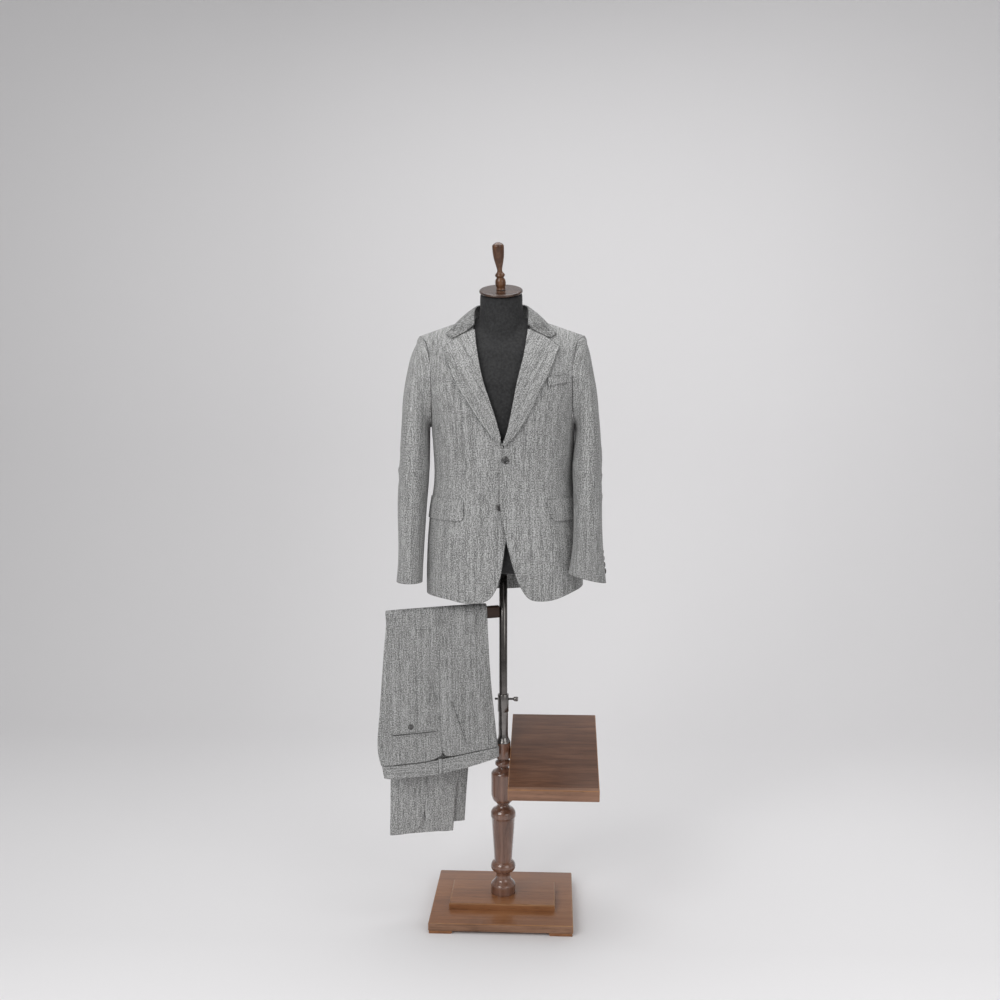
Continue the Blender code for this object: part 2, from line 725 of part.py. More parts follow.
def wall(name, outer, inner, material, ring=False):
    """Closed wall between two grids of points, which have a row for each section."""
    rows, columns = outer.shape[:2]
    points = np.concatenate([outer.reshape(-1, 3), inner.reshape(-1, 3)])
    offset = rows * columns
    faces = []
    spans = columns if ring else columns - 1
    for r in range(rows - 1):
        for c in range(spans):
            d = (c + 1) % columns
            quad = (r * columns + c, r * columns + d, (r + 1) * columns + d, (r + 1) * columns + c)
            faces.append(quad)
            faces.append(tuple(offset + i for i in reversed(quad)))
    for r, order in ((0, 1), (rows - 1, -1)):
        for c in range(spans):
            d = (c + 1) % columns
            quad = (r * columns + c, r * columns + d, offset + r * columns + d, offset + r * columns + c)
            faces.append(quad[:: -order])
    if not ring:
        for c, order in ((0, -1), (columns - 1, 1)):
            for r in range(rows - 1):
                a, b = r * columns + c, (r + 1) * columns + c
                faces.append((a, b, offset + b, offset + a)[:: -order])
    return face_out(mesh_object(name, points, faces, material))


def loft(name, rings, material, capped=(True, True), ridge=False):
    """Closed solid through rings of points, whose two end rings are filled. A ridge end is
    filled from its front to its back: its ring starts just beside the front middle."""
    rings = np.array(rings)
    count, sides = rings.shape[:2]
    faces = []
    for r in range(count - 1):
        for c in range(sides):
            d = (c + 1) % sides
            faces.append((r * sides + c, r * sides + d, (r + 1) * sides + d, (r + 1) * sides + c))
    if capped[0]:
        faces.append(tuple(range(sides))[::-1])
    last = (count - 1) * sides
    if ridge:
        for k in range(sides // 2 - 1):
            # Front points run from one side to the other, and each has its partner behind.
            c = k - sides // 4
            pair = [(c % sides), ((c + 1) % sides)]
            behind = [(sides // 2 - 1 - i) % sides for i in pair]
            faces.append(tuple(last + i for i in (pair[0], pair[1], behind[1], behind[0])))
    elif capped[1]:
        faces.append(tuple(last + c for c in range(sides)))
    return face_out(mesh_object(name, rings.reshape(-1, 3), faces, material))


def turned(name, profile, sides, material):
    """Turned piece from (height, radius) rows that run down its outer side."""
    mesh = bpy.data.meshes.new(name)
    points = [(radius, 0.0, height) for height, radius in profile]
    mesh.from_pydata(points, [(i, i + 1) for i in range(len(points) - 1)], [])
    thing = bpy.data.objects.new(name, mesh)
    PIECES.objects.link(thing)
    thing.parent = MAST
    screw = thing.modifiers.new("turn", "SCREW")
    screw.steps = screw.render_steps = sides
    screw.use_merge_vertices = True
    screw.merge_threshold = 0.00002
    screw.use_smooth_shade = True
    mesh.materials.append(material)
    return thing


def board(name, size, place, material, bevel=0.002, turn=None, segments=1):
    """Board with softened edges. Place is the middle of its box."""
    mesh = bpy.data.meshes.new(name)
    shape = bmesh.new()
    bmesh.ops.create_cube(shape, size=1.0)
    bmesh.ops.scale(shape, vec=size, verts=shape.verts)
    shape.to_mesh(mesh)
    shape.free()
    thing = bpy.data.objects.new(name, mesh)
    PIECES.objects.link(thing)
    thing.parent = MAST
    thing.location = place
    if turn is not None:
        thing.rotation_euler = turn
    soft = thing.modifiers.new("softened edges", "BEVEL")
    soft.width = bevel
    soft.segments = segments
    mesh.materials.append(material)
    return thing


def cut(thing, cutter_profile, sides, name):
    """Cuts a turned hole, given as its own profile, out of a piece."""
    cutter = turned(name, cutter_profile, sides, thing.data.materials[0])
    cutter.hide_render = True
    cutter.display_type = "WIRE"
    PIECES.objects.unlink(cutter)
    CUTTERS.objects.link(cutter)
    hole = thing.modifiers.new("hole", "BOOLEAN")
    hole.operation = "DIFFERENCE"
    hole.object = cutter
    return cutter


def patch(bottom, top, inner, outer, rises):
    """Grid of (angle, level) pairs that fills four border lines."""
    u = np.linspace(0, 1, len(bottom))[None, :, None]
    v = rises[:, None, None]
    sides = (1 - u) * inner[:, None, :] + u * outer[:, None, :]
    ends = (1 - v) * bottom[None] + v * top[None]
    corners = (1 - u) * (1 - v) * bottom[0] + u * (1 - v) * bottom[-1]
    corners = corners + (1 - u) * v * top[0] + u * v * top[-1]
    return sides + ends - corners


def lap(across, level):
    """How far the left front stands off the body, over the right front."""
    near = 1 - step_between(across, LAP_FULL, LAP_END)
    low = 1 - step_between(level, LAP_TOP, LAP_TOP_END)
    far = step_between(level, LAP_FAR_TOP, LAP_FAR_END)
    return near * low * (LAP_NEAR + (LAP_FAR - LAP_NEAR) * far)


def hem_places(start, end, count):
    angles = np.linspace(start, end, count)
    return np.stack([angles, READ_HEM(wrap_angle(angles))[..., 0]], -1)


def seam_rows(place, angle_low):
    """The seam from the hem up to a place on the armhole."""
    t = np.linspace(0, 1, SIDE_ROWS + 1)
    angles = angle_low + (place[0] - angle_low) * step_between(t, -0.3, 1.0) / 1.0
    angles = angles - (angles[0] - angle_low) * (1 - t)
    low = READ_HEM(wrap_angle(np.array(angle_low)))[..., 0]
    return np.stack([angles, low + (place[1] - low) * t], -1)


SIDE_FRONT_ANGLE = 61.0
SIDE_BACK_ANGLE = 117.0
SEAM_ANGLE = 0.070  # half of a seam's gap, as an angle of the body
RIDGE_DROP = 0.0020  # half of the shoulder seam's gap, as a level
FRONT_COLUMNS_COUNT = 8
NECK_COLUMNS_COUNT = 3


def front_panel(name, side, edge_rows, break_height, laps):
    """A front: its roll line and front edge, the shoulder, the armhole and the side seam."""
    armhole = armhole_places(side)
    seam = seam_rows(armhole[FRONT_SIDES], side * SIDE_FRONT_ANGLE)
    outer = np.concatenate([seam, armhole[:FRONT_SIDES][::-1]])
    outer[:, 0] -= side * SEAM_ANGLE
    outer[-1] = shoulder_place(np.array(side * SHOULDER_POINT), RIDGE_DROP)
    outer[-1, 0] -= side * SEAM_ANGLE
    rises = (outer[:, 1] - outer[0, 1]) / (outer[-1, 1] - outer[0, 1])
    neck = shoulder_place(np.array(side * NECK_POINT), RIDGE_DROP)
    heights = np.linspace(min(row[0] for row in edge_rows), GORGE_HEIGHT, 300)
    across = smooth_table(edge_rows)(heights)[..., 0]
    # Above the break the panel stops short of the roll, which the lapel wraps.
    across = across + side * ROLL_SHORT * step_between(heights, break_height - 0.006, break_height + 0.008)
    edge_levels = level_at(across, heights)
    edge_levels = np.append(edge_levels, neck[1])
    across = np.append(across, side * NECK_POINT)
    levels = edge_levels[0] + (neck[1] - edge_levels[0]) * rises
    across = np.interp(levels, edge_levels, across)
    inner = np.stack([angle_at(across, levels), levels], -1)
    inner[-1] = neck
    bottom = hem_places(inner[0, 0], outer[0, 0], FRONT_COLUMNS_COUNT + 1)
    blend = np.linspace(1, 0, FRONT_COLUMNS_COUNT + 1) ** 6
    bottom[:, 1] += (inner[0, 1] - bottom[0, 1]) * blend
    spread = np.linspace(side * NECK_POINT, side * SHOULDER_POINT, FRONT_COLUMNS_COUNT + 1)
    top = shoulder_place(spread, RIDGE_DROP)
    top[-1] = outer[-1]
    bottom[-1] = outer[0]
    grid = patch(bottom, top, inner, outer, rises)
    x = body_point(grid[..., 0], grid[..., 1])[..., 0]
    out = lap(x, grid[..., 1]) if laps else 0.0
    face = body_point(grid[..., 0], grid[..., 1], out)
    lining_side = body_point(grid[..., 0], grid[..., 1], out - CLOTH)
    return wall(name, face, lining_side, WOOL)


def side_panel(name, side):
    armhole = armhole_places(side)
    top = armhole[FRONT_SIDES : ARMHOLE_SIDES - FRONT_SIDES + 1].copy()
    inner = seam_rows(armhole[FRONT_SIDES], side * SIDE_FRONT_ANGLE)
    outer = seam_rows(armhole[ARMHOLE_SIDES - FRONT_SIDES], side * SIDE_BACK_ANGLE)
    inner[:, 0] += side * SEAM_ANGLE
    outer[:, 0] -= side * SEAM_ANGLE
    top[0], top[-1] = inner[-1], outer[-1]
    bottom = hem_places(inner[0, 0], outer[0, 0], len(top))
    rises = np.linspace(0, 1, SIDE_ROWS + 1)
    grid = patch(bottom, top, inner, outer, rises)
    face = body_point(grid[..., 0], grid[..., 1])
    return wall(name, face, body_point(grid[..., 0], grid[..., 1], -CLOTH), WOOL)


BACK_NECK_DROP = 0.0500
BACK_GAP = 0.0002


def back_panel(name, side):
    armhole = armhole_places(side)
    back_armhole = armhole[ARMHOLE_SIDES - FRONT_SIDES :].copy()
    seam = seam_rows(back_armhole[0], side * SIDE_BACK_ANGLE)
    inner = np.concatenate([seam, back_armhole[1:]])
    inner[:, 0] += side * SEAM_ANGLE
    inner[-1] = shoulder_place(np.array(side * SHOULDER_POINT), RIDGE_DROP, back=True)
    inner[-1, 0] += side * SEAM_ANGLE
    rises = (inner[:, 1] - inner[0, 1]) / (inner[-1, 1] - inner[0, 1])
    spread = np.linspace(side * SHOULDER_POINT, side * NECK_POINT, FRONT_COLUMNS_COUNT + 1)
    shoulder = shoulder_place(spread, RIDGE_DROP, back=True)
    part = np.linspace(0, 1, NECK_COLUMNS_COUNT + 1)[1:]
    across = side * np.maximum(NECK_POINT * np.cos(part * math.pi / 2), BACK_GAP)
    neck = shoulder_place(across, RIDGE_DROP + BACK_NECK_DROP * np.sin(part * math.pi / 2) ** 0.7, back=True)
    top = np.concatenate([shoulder, neck])
    top[0] = inner[-1]
    levels = READ_HEM(180.0)[..., 0] + (top[-1, 1] - READ_HEM(180.0)[..., 0]) * rises
    outer = np.stack([side * 180.0 - angle_at(side * BACK_GAP, levels), levels], -1)
    outer[-1] = top[-1]
    bottom = hem_places(inner[0, 0], outer[0, 0], len(top))
    bottom[0], bottom[-1] = inner[0], outer[0]
    grid = patch(bottom, top, inner, outer, rises)
    face = body_point(grid[..., 0], grid[..., 1])
    return wall(name, face, body_point(grid[..., 0], grid[..., 1], -CLOTH), WOOL)


def rolled_path(width, roll, steps):
    """Across a turned-over leaf: (along, out) from the hidden end, round the roll, to the edge."""
    path = [(roll + 0.0012, -2 * roll)]
    for turn in (-90, -135, 180, 135, 90):
        a = math.radians(turn)
        path.append((roll + roll * math.cos(a), roll * math.sin(a) - roll))
    for k in range(1, steps + 1):
        path.append((roll + (width - roll) * k / steps, 0.0))
    return np.array(path)


def leaf_walls(middle):
    """Outer and inner grids of a leaf of cloth from the middle of its wall."""
    along = np.gradient(middle, axis=1)
    down = np.gradient(middle, axis=0)
    normal = unit(np.cross(along, down))
    half = LAPEL_WALL / 2
    return middle + normal * half, middle - normal * half


def lapel(name, side, edge_rows, lapel_rows, laps):
    """The turned-back front: it wraps the roll line and lies on the front panel."""
    read_edge, read_leaf = smooth_table(edge_rows), smooth_table(lapel_rows)
    heights = [row[0] for row in lapel_rows]
    rows = []
    for k in range(LAPEL_ROWS + 1):
        t = k / LAPEL_ROWS
        leaf_z = min(heights) + (max(heights) - min(heights)) * t
        roll_z = (LEFT_BREAK if side > 0 else RIGHT_BREAK) + 0.006
        roll_z = roll_z + (GORGE_HEIGHT - roll_z) * t
        start = np.array([float(read_edge(roll_z)[0]), roll_z])
        end = np.array([float(read_leaf(leaf_z)[0]), leaf_z])
        width = max(float(np.linalg.norm(end - start)), 0.0075)
        toward = (end - start) / np.linalg.norm(end - start)
        path = rolled_path(width, LAPEL_ROLL, LAPEL_STEPS)
        bow = GORGE_BOW * step_between(t, 0.7, 1.0)
        part = np.clip(path[:, 0] / width, 0, 1)
        flat = start + path[:, :1] * toward
        flat[:, 1] += bow * 4 * part**2 * (1 - part) * 1.6 - GORGE_GAP * step_between(t, 0.9, 1.0)
        place = front_place(flat[:, 0], flat[:, 1])
        out = path[:, 1] + LIFT + LAPEL_WALL / 2
        x = body_point(place[:, 0], place[:, 1])[:, 0]
        if laps:
            out = out + lap(x, place[:, 1])
        rows.append(body_point(place[:, 0], place[:, 1], out))
    middle = np.array(rows)
    return wall(name, *leaf_walls(middle), WOOL)


READ_COLLAR = smooth_table(COLLAR)
READ_STAND = smooth_table(STAND)
BODY_SHIFT_TOP = BODY_SECTIONS[-1][4]


def collar_edge_point(across, drop, out):
    level = shoulder_ridge(across) - np.abs(drop)
    angle = angle_at(across, level)
    if drop < 0:
        angle = (1 if across >= 0 else -1) * 180.0 - angle
    return body_point(angle, level, out)


def collar_section(along, side):
    """Middle line of the collar's wall across its leaf, from the hidden end to the edge."""
    roll_x, roll_y, roll_z, edge_x, edge_drop = READ_COLLAR(along)
    lies = float(step_between(along, COLLAR_STANDS_TO, COLLAR_LIES_FROM))
    out = LIFT + LAPEL_WALL / 2 + COLLAR_RISE * (1 - lies)
    edge = collar_edge_point(side * max(edge_x, 0.0002), edge_drop, out)
    roll = np.array([side * roll_x + BODY_SHIFT_TOP, roll_y, roll_z])
    if lies > 0:
        place = front_place(side * roll_x, np.array(roll_z))
        on_body = body_point(place[0], place[1], out)
        roll = roll + (on_body - roll) * lies
    width = float(np.linalg.norm(edge - roll))
    toward = (edge - roll) / width
    centre = np.array([BODY_SHIFT_TOP, 0.0, 1.50])
    outward = unit(edge - centre)
    outward = unit(outward - toward * float(outward @ toward))
    path = rolled_path(width, LAPEL_ROLL, LAPEL_STEPS)
    flat = path.copy()
    flat[:6, 0] = np.linspace(0.0, LAPEL_ROLL, 6)
    flat[:6, 1] = 0.0
    path = path + (flat - path) * lies
    part = np.clip(path[:, 0] / width, 0, 1)
    bulge = COLLAR_BULGE * (1 - lies) * np.sin(part * math.pi) * (path[:, 1] > -1e-6)
    straight = roll + path[:, :1] * toward + (path[:, 1:] + bulge[:, None]) * outward
    if lies > 0:
        flat_x = side * (roll_x + (edge_x - roll_x) * part)
        start_level = level_at(side * roll_x, np.array(roll_z))
        start_drop = shoulder_ridge(np.array(side * roll_x)) - start_level
        drop = start_drop + (edge_drop - start_drop) * part
        level = shoulder_ridge(flat_x) - drop
        lying = body_point(angle_at(flat_x, level), level, out)
        straight = straight + (lying - straight) * lies
    return straight


def collar():
    """The leaf of the collar, round the back of the neck from notch to notch, and its stand."""
    half = COLLAR_STATIONS
    sections = [collar_section(a, -1) for a in half[::-1][:-1]]
    sections += [collar_section(a, 1) for a in half]
    wall("collar_leaf", *leaf_walls(np.array(sections)), WOOL)
    rows = []
    half = [a for a in COLLAR_STATIONS if a <= COLLAR_STANDS_TO]
    for side, alongs in ((-1, half[::-1][:-1]), (1, half)):
        for a in alongs:
            leaf = collar_section(a, side)
            inward = unit(leaf[0] - leaf[1])
            top = leaf[0] + inward * (SEAM + 0.0001)
            under = top + inward * 0.0030
            seam_x, seam_y, seam_z = READ_STAND(a)
            low = np.array([side * seam_x + BODY_SHIFT_TOP, seam_y, seam_z])
            rows.append([top] + [under + (low - under) * t for t in (0.0, 0.5, 1.0)])
    wall("collar_stand", *leaf_walls(np.array(rows)), WOOL)


def overlay(name, corners, columns, rows, out, depth, round_corner=0.0, laps=False):
    """Flat piece laid on the body. Corners are (angle, level): top start, top end, bottom
    start, bottom end."""
    a, b, c, d = (np.array(corner) for corner in corners)
    places = np.linspace(0, 1, columns + 1)
    if round_corner:
        places = np.concatenate([[0.0], np.linspace(CORNER_SHARE, 1, columns)])
    u = places[None, :, None]
    v = np.linspace(0, 1, rows + 1)[:, None, None]
    grid = (1 - v) * ((1 - u) * a + u * b) + v * ((1 - u) * c + u * d)
    grid = grid + np.where(u == 0, v**3, 0.0) * np.array([0.0, round_corner])
    inner = body_point(grid[..., 0], grid[..., 1], out)
    return wall(name, body_point(grid[..., 0], grid[..., 1], out + depth), inner, WOOL)


def flap(name, side):
    """Hip pocket flap: over the front panel and round on to the side panel."""
    radius = 0.165
    turn = math.degrees(FLAP_WIDTH / radius)
    top_front, low_front = FLAP_FRONT[side]
    start = float(angle_at(np.array(top_front), np.array(FLAP_TOP)))
    low_start = float(angle_at(np.array(low_front), np.array(FLAP_TOP - FLAP_DEPTH)))
    top_start = (side * start, FLAP_TOP)
    top_end = (side * (start + turn), FLAP_TOP + FLAP_RISE * FLAP_WIDTH)
    bottom_start = (side * low_start, FLAP_TOP - FLAP_DEPTH)
    bottom_end = (side * (start + turn + 1.0), FLAP_TOP + FLAP_RISE * FLAP_WIDTH - FLAP_DEPTH)
    overlay(name, (top_start, top_end, bottom_start, bottom_end), 7, 3, 0.0013, 0.0017, 0.008)


def breast_welt():
    low = [front_place(np.array(x), np.array(z)) for x, z in (WELT_LOW, WELT_HIGH)]
    high = [front_place(np.array(x), np.array(z + WELT_DEPTH)) for x, z in (WELT_LOW, WELT_HIGH)]
    overlay("breast_welt", (high[0], high[1], low[0], low[1]), 4, 1, 0.0008, 0.0016)


def button(name, radius, depth, sides, place, normal, lift):
    """A dished button with a rim, its back at lift from the cloth."""
    profile = (
        (depth * 0.72, 0.0),
        (depth * 0.66, radius * 0.55),
        (depth, radius * 0.82),
        (depth * 0.8, radius),
        (depth * 0.35, radius),
        (0.0, radius * 0.78),
        (0.0, 0.0),
    )
    thing = turned(name, profile, sides, HORN)
    turn = Vector((0, 0, 1)).rotation_difference(Vector(normal)).to_matrix().to_4x4()
    spot = Vector(place) + Vector(normal) * lift
    thing.matrix_local = Matrix.Translation(spot) @ turn
    return thing


def normal_at(angle, level):
    return unit(body_point(angle, level, 0.001) - body_point(angle, level))


def front_buttons():
    for name, (x, z), laps in (
        ("button_upper", BUTTON_UPPER, True),
        ("button_lower", BUTTON_LOWER, False),
    ):
        angle, level = front_place(np.array(x), np.array(z))
        out = float(lap(np.array(x), level)) if laps else 0.0
        place = body_point(angle, level, out)
        button(name, BUTTON_RADIUS, BUTTON_DEPTH, BUTTON_SIDES, place, normal_at(angle, level), 0.0005)


def sleeve_folds(height, turn):
    rise = 0.0
    for row in SLEEVE_FOLDS:
        fold = dict(zip(SLEEVE_FOLD_COLUMNS, row))
        round_it = np.abs(wrap_angle(turn - fold["side"]))
        near = np.exp(-(((height - fold["height"]) / fold["length"]) ** 2) - (round_it / fold["width"]) ** 2)
        rise = rise + fold["rise"] * near
    return rise


def sleeve_grid(side, rows, head_rows):
    """Outer surface of a sleeve, a ring of points for each section, from the armhole down."""
    places = armhole_places(side)[:ARMHOLE_SIDES]
    loop = body_point(places[:, 0], places[:, 1])
    loop[:, 0] += side * ARMHOLE_SEAM
    turns = np.arange(ARMHOLE_SIDES) * 360.0 / ARMHOLE_SIDES
    radians = np.radians(turns)
    read_head, read_rows = smooth_table(head_rows), smooth_table(rows)
    underarm = loop[ARMHOLE_SIDES // 2]
    pivot = np.array([underarm[0], underarm[2] - UNDERARM_RADIUS])
    tops = [(loop[0, 0], loop[0, 2])]
    tops += [(side * float(read_head(z)[0]), z) for z in HEAD_HEIGHTS]
    tops.append((side * rows[0][1], rows[0][0]))
    half_depth = (loop[:, 1].max() - loop[:, 1].min()) / 2
    middle_y = (loop[:, 1].max() + loop[:, 1].min()) / 2
    rings = []
    for k, (top_x, top_z) in enumerate(tops):
        part = k / (len(tops) - 1)
        tilt = math.atan2(top_z - pivot[1], abs(top_x - pivot[0]))
        if k == len(tops) - 1:
            tilt = 0.0
        low = pivot + UNDERARM_RADIUS * np.array([side * math.cos(tilt), math.sin(tilt)])
        top = np.array([top_x, top_z])
        middle, half = (top + low) / 2, (top - low) / 2
        depth = half_depth + (rows[0][4] - half_depth) * step_between(part, 0.0, 1.0)
        y = middle_y + (rows[0][3] - middle_y) * part
        ring = np.stack(
            [
                middle[0] + half[0] * np.cos(radians),
                y - depth * np.sin(radians),
                middle[1] + half[1] * np.cos(radians),
            ],
            -1,
        )
        if k == 0:
            remainder = loop - ring
        rings.append(ring + remainder * (1 - part) ** 2)
    heights = np.linspace(rows[0][0], rows[-1][0], SLEEVE_STEPS + 1)[1:]
    for height in heights:
        outer, inner, y, depth, twist, tip = read_rows(height)
        middle, half = (outer + inner) / 2, (outer - inner) / 2
        turn = radians + math.radians(twist)
        puff = sleeve_folds(height, turns + twist)
        ring = np.stack(
            [
                side * (middle + (half + puff) * np.cos(turn)),
                y - (depth + puff) * np.sin(turn),
                height + tip * np.cos(turn),
            ],
            -1,
        )
        rings.append(ring)
    return clear_of_body(np.array(rings), side, len(tops))


def clear_of_body(rings, side, first):
    """Pushes a hanging sleeve out sideways wherever it would pass into the body."""
    below = rings[first:]
    values = READ_BODY(below[..., 2])
    half_width, front, back, shift = (values[..., i] for i in range(4))
    depth = np.where(below[..., 1] < 0, front, back)
    rest = np.clip(1 - (np.abs(below[..., 1]) / depth) ** BODY_POWER, 0, 1)
    nearest = half_width * rest ** (1 / BODY_POWER) + side * shift + SLEEVE_CLEAR
    below[..., 0] = side * np.maximum(side * below[..., 0], np.where(rest > 0, nearest, 0.0))
    return rings


def ring_normals(grid, side):
    along = np.roll(grid, -1, axis=1) - np.roll(grid, 1, axis=1)
    down = np.gradient(grid, axis=0)
    return unit(np.cross(along, down)) * side


def sleeve(side_name, side, rows, head_rows):
    """A two-piece sleeve: the outer (top) piece and the under piece, parted at two seams."""
    grid = sleeve_grid(side, rows, head_rows)
    normals = ring_normals(grid, side)
    inner = grid - normals * CLOTH
    inner[0, :, 0] = np.maximum(side * inner[0, :, 0], side * grid[0, :, 0]) * side
    for piece, start, count in (
        ("top", SEAM_BACK_INDEX, ARMHOLE_SIDES - SEAM_BACK_INDEX + SEAM_FRONT_INDEX),
        ("under", SEAM_FRONT_INDEX, SEAM_BACK_INDEX - SEAM_FRONT_INDEX),
    ):
        index = [(start + i) % ARMHOLE_SIDES for i in range(count + 1)]
        face, back = grid[:, index].copy(), inner[:, index].copy()
        for end, step in ((0, 1), (-1, -1)):
            toward = unit(face[:, end + step] - face[:, end])
            face[:, end] += toward * SEAM * 0.8
            back[:, end] += toward * SEAM * 0.8
        wall(f"{side_name}_{piece}", face, back, WOOL)
    cuff_buttons(side_name, grid, normals)


def cuff_buttons(side_name, grid, normals):
    """Four buttons in a row beside the back seam, on the outer piece."""
    line = grid[:, SEAM_BACK_INDEX] * 0.62 + grid[:, SEAM_BACK_INDEX + 1] * 0.38
    outward = unit(normals[:, SEAM_BACK_INDEX] + normals[:, SEAM_BACK_INDEX + 1])
    heights = line[::-1, 2]
    for k in range(CUFF_BUTTONS):
        height = heights[0] + CUFF_BUTTON_LOWEST + k * CUFF_BUTTON_STEP
        place = [np.interp(height, heights, line[::-1, i]) for i in range(3)]
        normal = unit(np.array([np.interp(height, heights, outward[::-1, i]) for i in range(3)]))
        name = f"{side_name}_button_{k + 1}"
        button(name, CUFF_BUTTON_RADIUS, CUFF_BUTTON_DEPTH, CUFF_BUTTON_SIDES, place, normal, 0.0008)


def dress_form():
    """Torso and neck in one, closed at the foot, with a blind socket for the inner tube."""
    angles = np.arange(FORM_SIDES) * 360.0 / FORM_SIDES + 180.0 / FORM_SIDES
    levels = [FORM_BOTTOM, 0.985, 1.03, 1.09, 1.15, 1.21, 1.27, 1.33, 1.39, 1.44]
    rings = []
    flat = section_surface(angles, np.full_like(angles, FORM_BOTTOM), READ_FORM, form_ridge)
    inset = flat.copy()
    inset[:, :2] *= 0.93
    rings.append(inset)
    for level in levels:
        ring = section_surface(angles, np.full_like(angles, level), READ_FORM, form_ridge)
        if level == FORM_BOTTOM:
            ring[:, 2] += 0.010
        rings.append(ring)
    base = section_surface(angles, np.full_like(angles, 1.44), READ_FORM, form_ridge)
    across = base[:, 0] - READ_FORM(1.44)[3]
    for part in (0.3, 0.52, 0.7, 0.84, 0.95):
        spread = across * (1 + 0.045 * part)
        top = form_ridge(spread)
        level = 1.44 + (top - 1.44) * part
        rings.append(section_surface(angles, level, READ_FORM, form_ridge))
    body = loft("dress_form", rings, CLOTH_BLACK, ridge=True)
    neck_rings = []
    turns = np.radians(np.arange(NECK_SIDES) * 360.0 / NECK_SIDES)
    for height, half_width, front, back, middle_x in NECK_SECTIONS:
        y = -np.cos(turns) * np.where(np.cos(turns) > 0, front, back)
        z = np.full_like(turns, height)
        tilt = float(step_between(height, 1.61, NECK_TOP))
        z = z + math.tan(math.radians(NECK_TILT)) * tilt * (y - CAP_MIDDLE[1])
        neck_rings.append(np.stack([middle_x + half_width * np.sin(turns), y, z], -1))
    neck = loft("neck_column", neck_rings, CLOTH_BLACK)
    neck.hide_render = True
    neck.display_type = "WIRE"
    PIECES.objects.unlink(neck)
    CUTTERS.objects.link(neck)
    join = body.modifiers.new("neck", "BOOLEAN")
    join.operation = "UNION"
    join.object = neck
    socket = (
        (INNER_TUBE_HIGH + 0.0005, 0.0),
        (INNER_TUBE_HIGH + 0.0005, BORE_RADIUS),
        (0.90, BORE_RADIUS),
        (0.90, 0.0),
    )
    cut(body, socket, TUBE_SIDES, "form_socket")


def tilted(thing, place, extra=0.0):
    """Sets a turned piece on the tilted top of the neck."""
    tilt = Matrix.Rotation(math.radians(NECK_TILT), 4, "X")
    lean = Matrix.Rotation(math.radians(-extra), 4, "Y")
    thing.matrix_local = Matrix.Translation(place) @ tilt @ lean
    return thing


def neck_cap_and_finial():
    top = NECK_TOP + 0.0004
    profile = (
        (CAP_DEPTH, 0.0),
        (CAP_DEPTH, CAP_RADIUS - 0.0035),
        (CAP_DEPTH - 0.0012, CAP_RADIUS - 0.0010),
        (CAP_DEPTH / 2, CAP_RADIUS),
        (0.0012, CAP_RADIUS - 0.0010),
        (0.0, CAP_RADIUS - 0.0035),
        (0.0, 0.0),
    )
    cap = turned("neck_cap", profile, CAP_SIDES, WOOD)
    tilted(cap, (CAP_MIDDLE[0], CAP_MIDDLE[1], top))
    finial = turned("finial", (*FINIAL, (0.0003, 0.0)), FINIAL_SIDES, WOOD)
    rise = CAP_DEPTH + 0.0012
    radians = math.radians(NECK_TILT)
    foot = (CAP_MIDDLE[0], CAP_MIDDLE[1] - rise * math.sin(radians), top + rise * math.cos(radians))
    tilted(finial, foot, FINIAL_LEAN)


def mast_and_post():
    bore = ((BORE_LOW, 0.0), (BORE_LOW, BORE_RADIUS), (POST_PROFILE[0][0], BORE_RADIUS))
    turned("post", (*bore, *POST_PROFILE, (POST_PROFILE[-1][0], 0.0)), POST_SIDES, WOOD)
    gap = 0.0003
    lower = (
        (FERRULE_LOW, BORE_RADIUS),
        (COLLAR_LOW - gap, BORE_RADIUS),
        (COLLAR_LOW - gap, LOWER_TUBE_RADIUS),
        (FERRULE_LOW + 0.0240, LOWER_TUBE_RADIUS),
        (FERRULE_LOW + 0.0150, 0.0140),
        (FERRULE_LOW + 0.0070, 0.0172),
        (FERRULE_LOW + 0.0020, 0.0198),
        (FERRULE_LOW, 0.0200),
        (FERRULE_LOW, BORE_RADIUS),
    )
    turned("lower_tube", lower, TUBE_SIDES, STEEL)
    tube = (
        (INNER_TUBE_LOW, INNER_TUBE_RADIUS - INNER_TUBE_WALL),
        (INNER_TUBE_HIGH, INNER_TUBE_RADIUS - INNER_TUBE_WALL),
        (INNER_TUBE_HIGH, INNER_TUBE_RADIUS),
        (INNER_TUBE_LOW, INNER_TUBE_RADIUS),
        (INNER_TUBE_LOW, INNER_TUBE_RADIUS - INNER_TUBE_WALL),
    )
    turned("inner_tube", tube, TUBE_SIDES, STEEL)


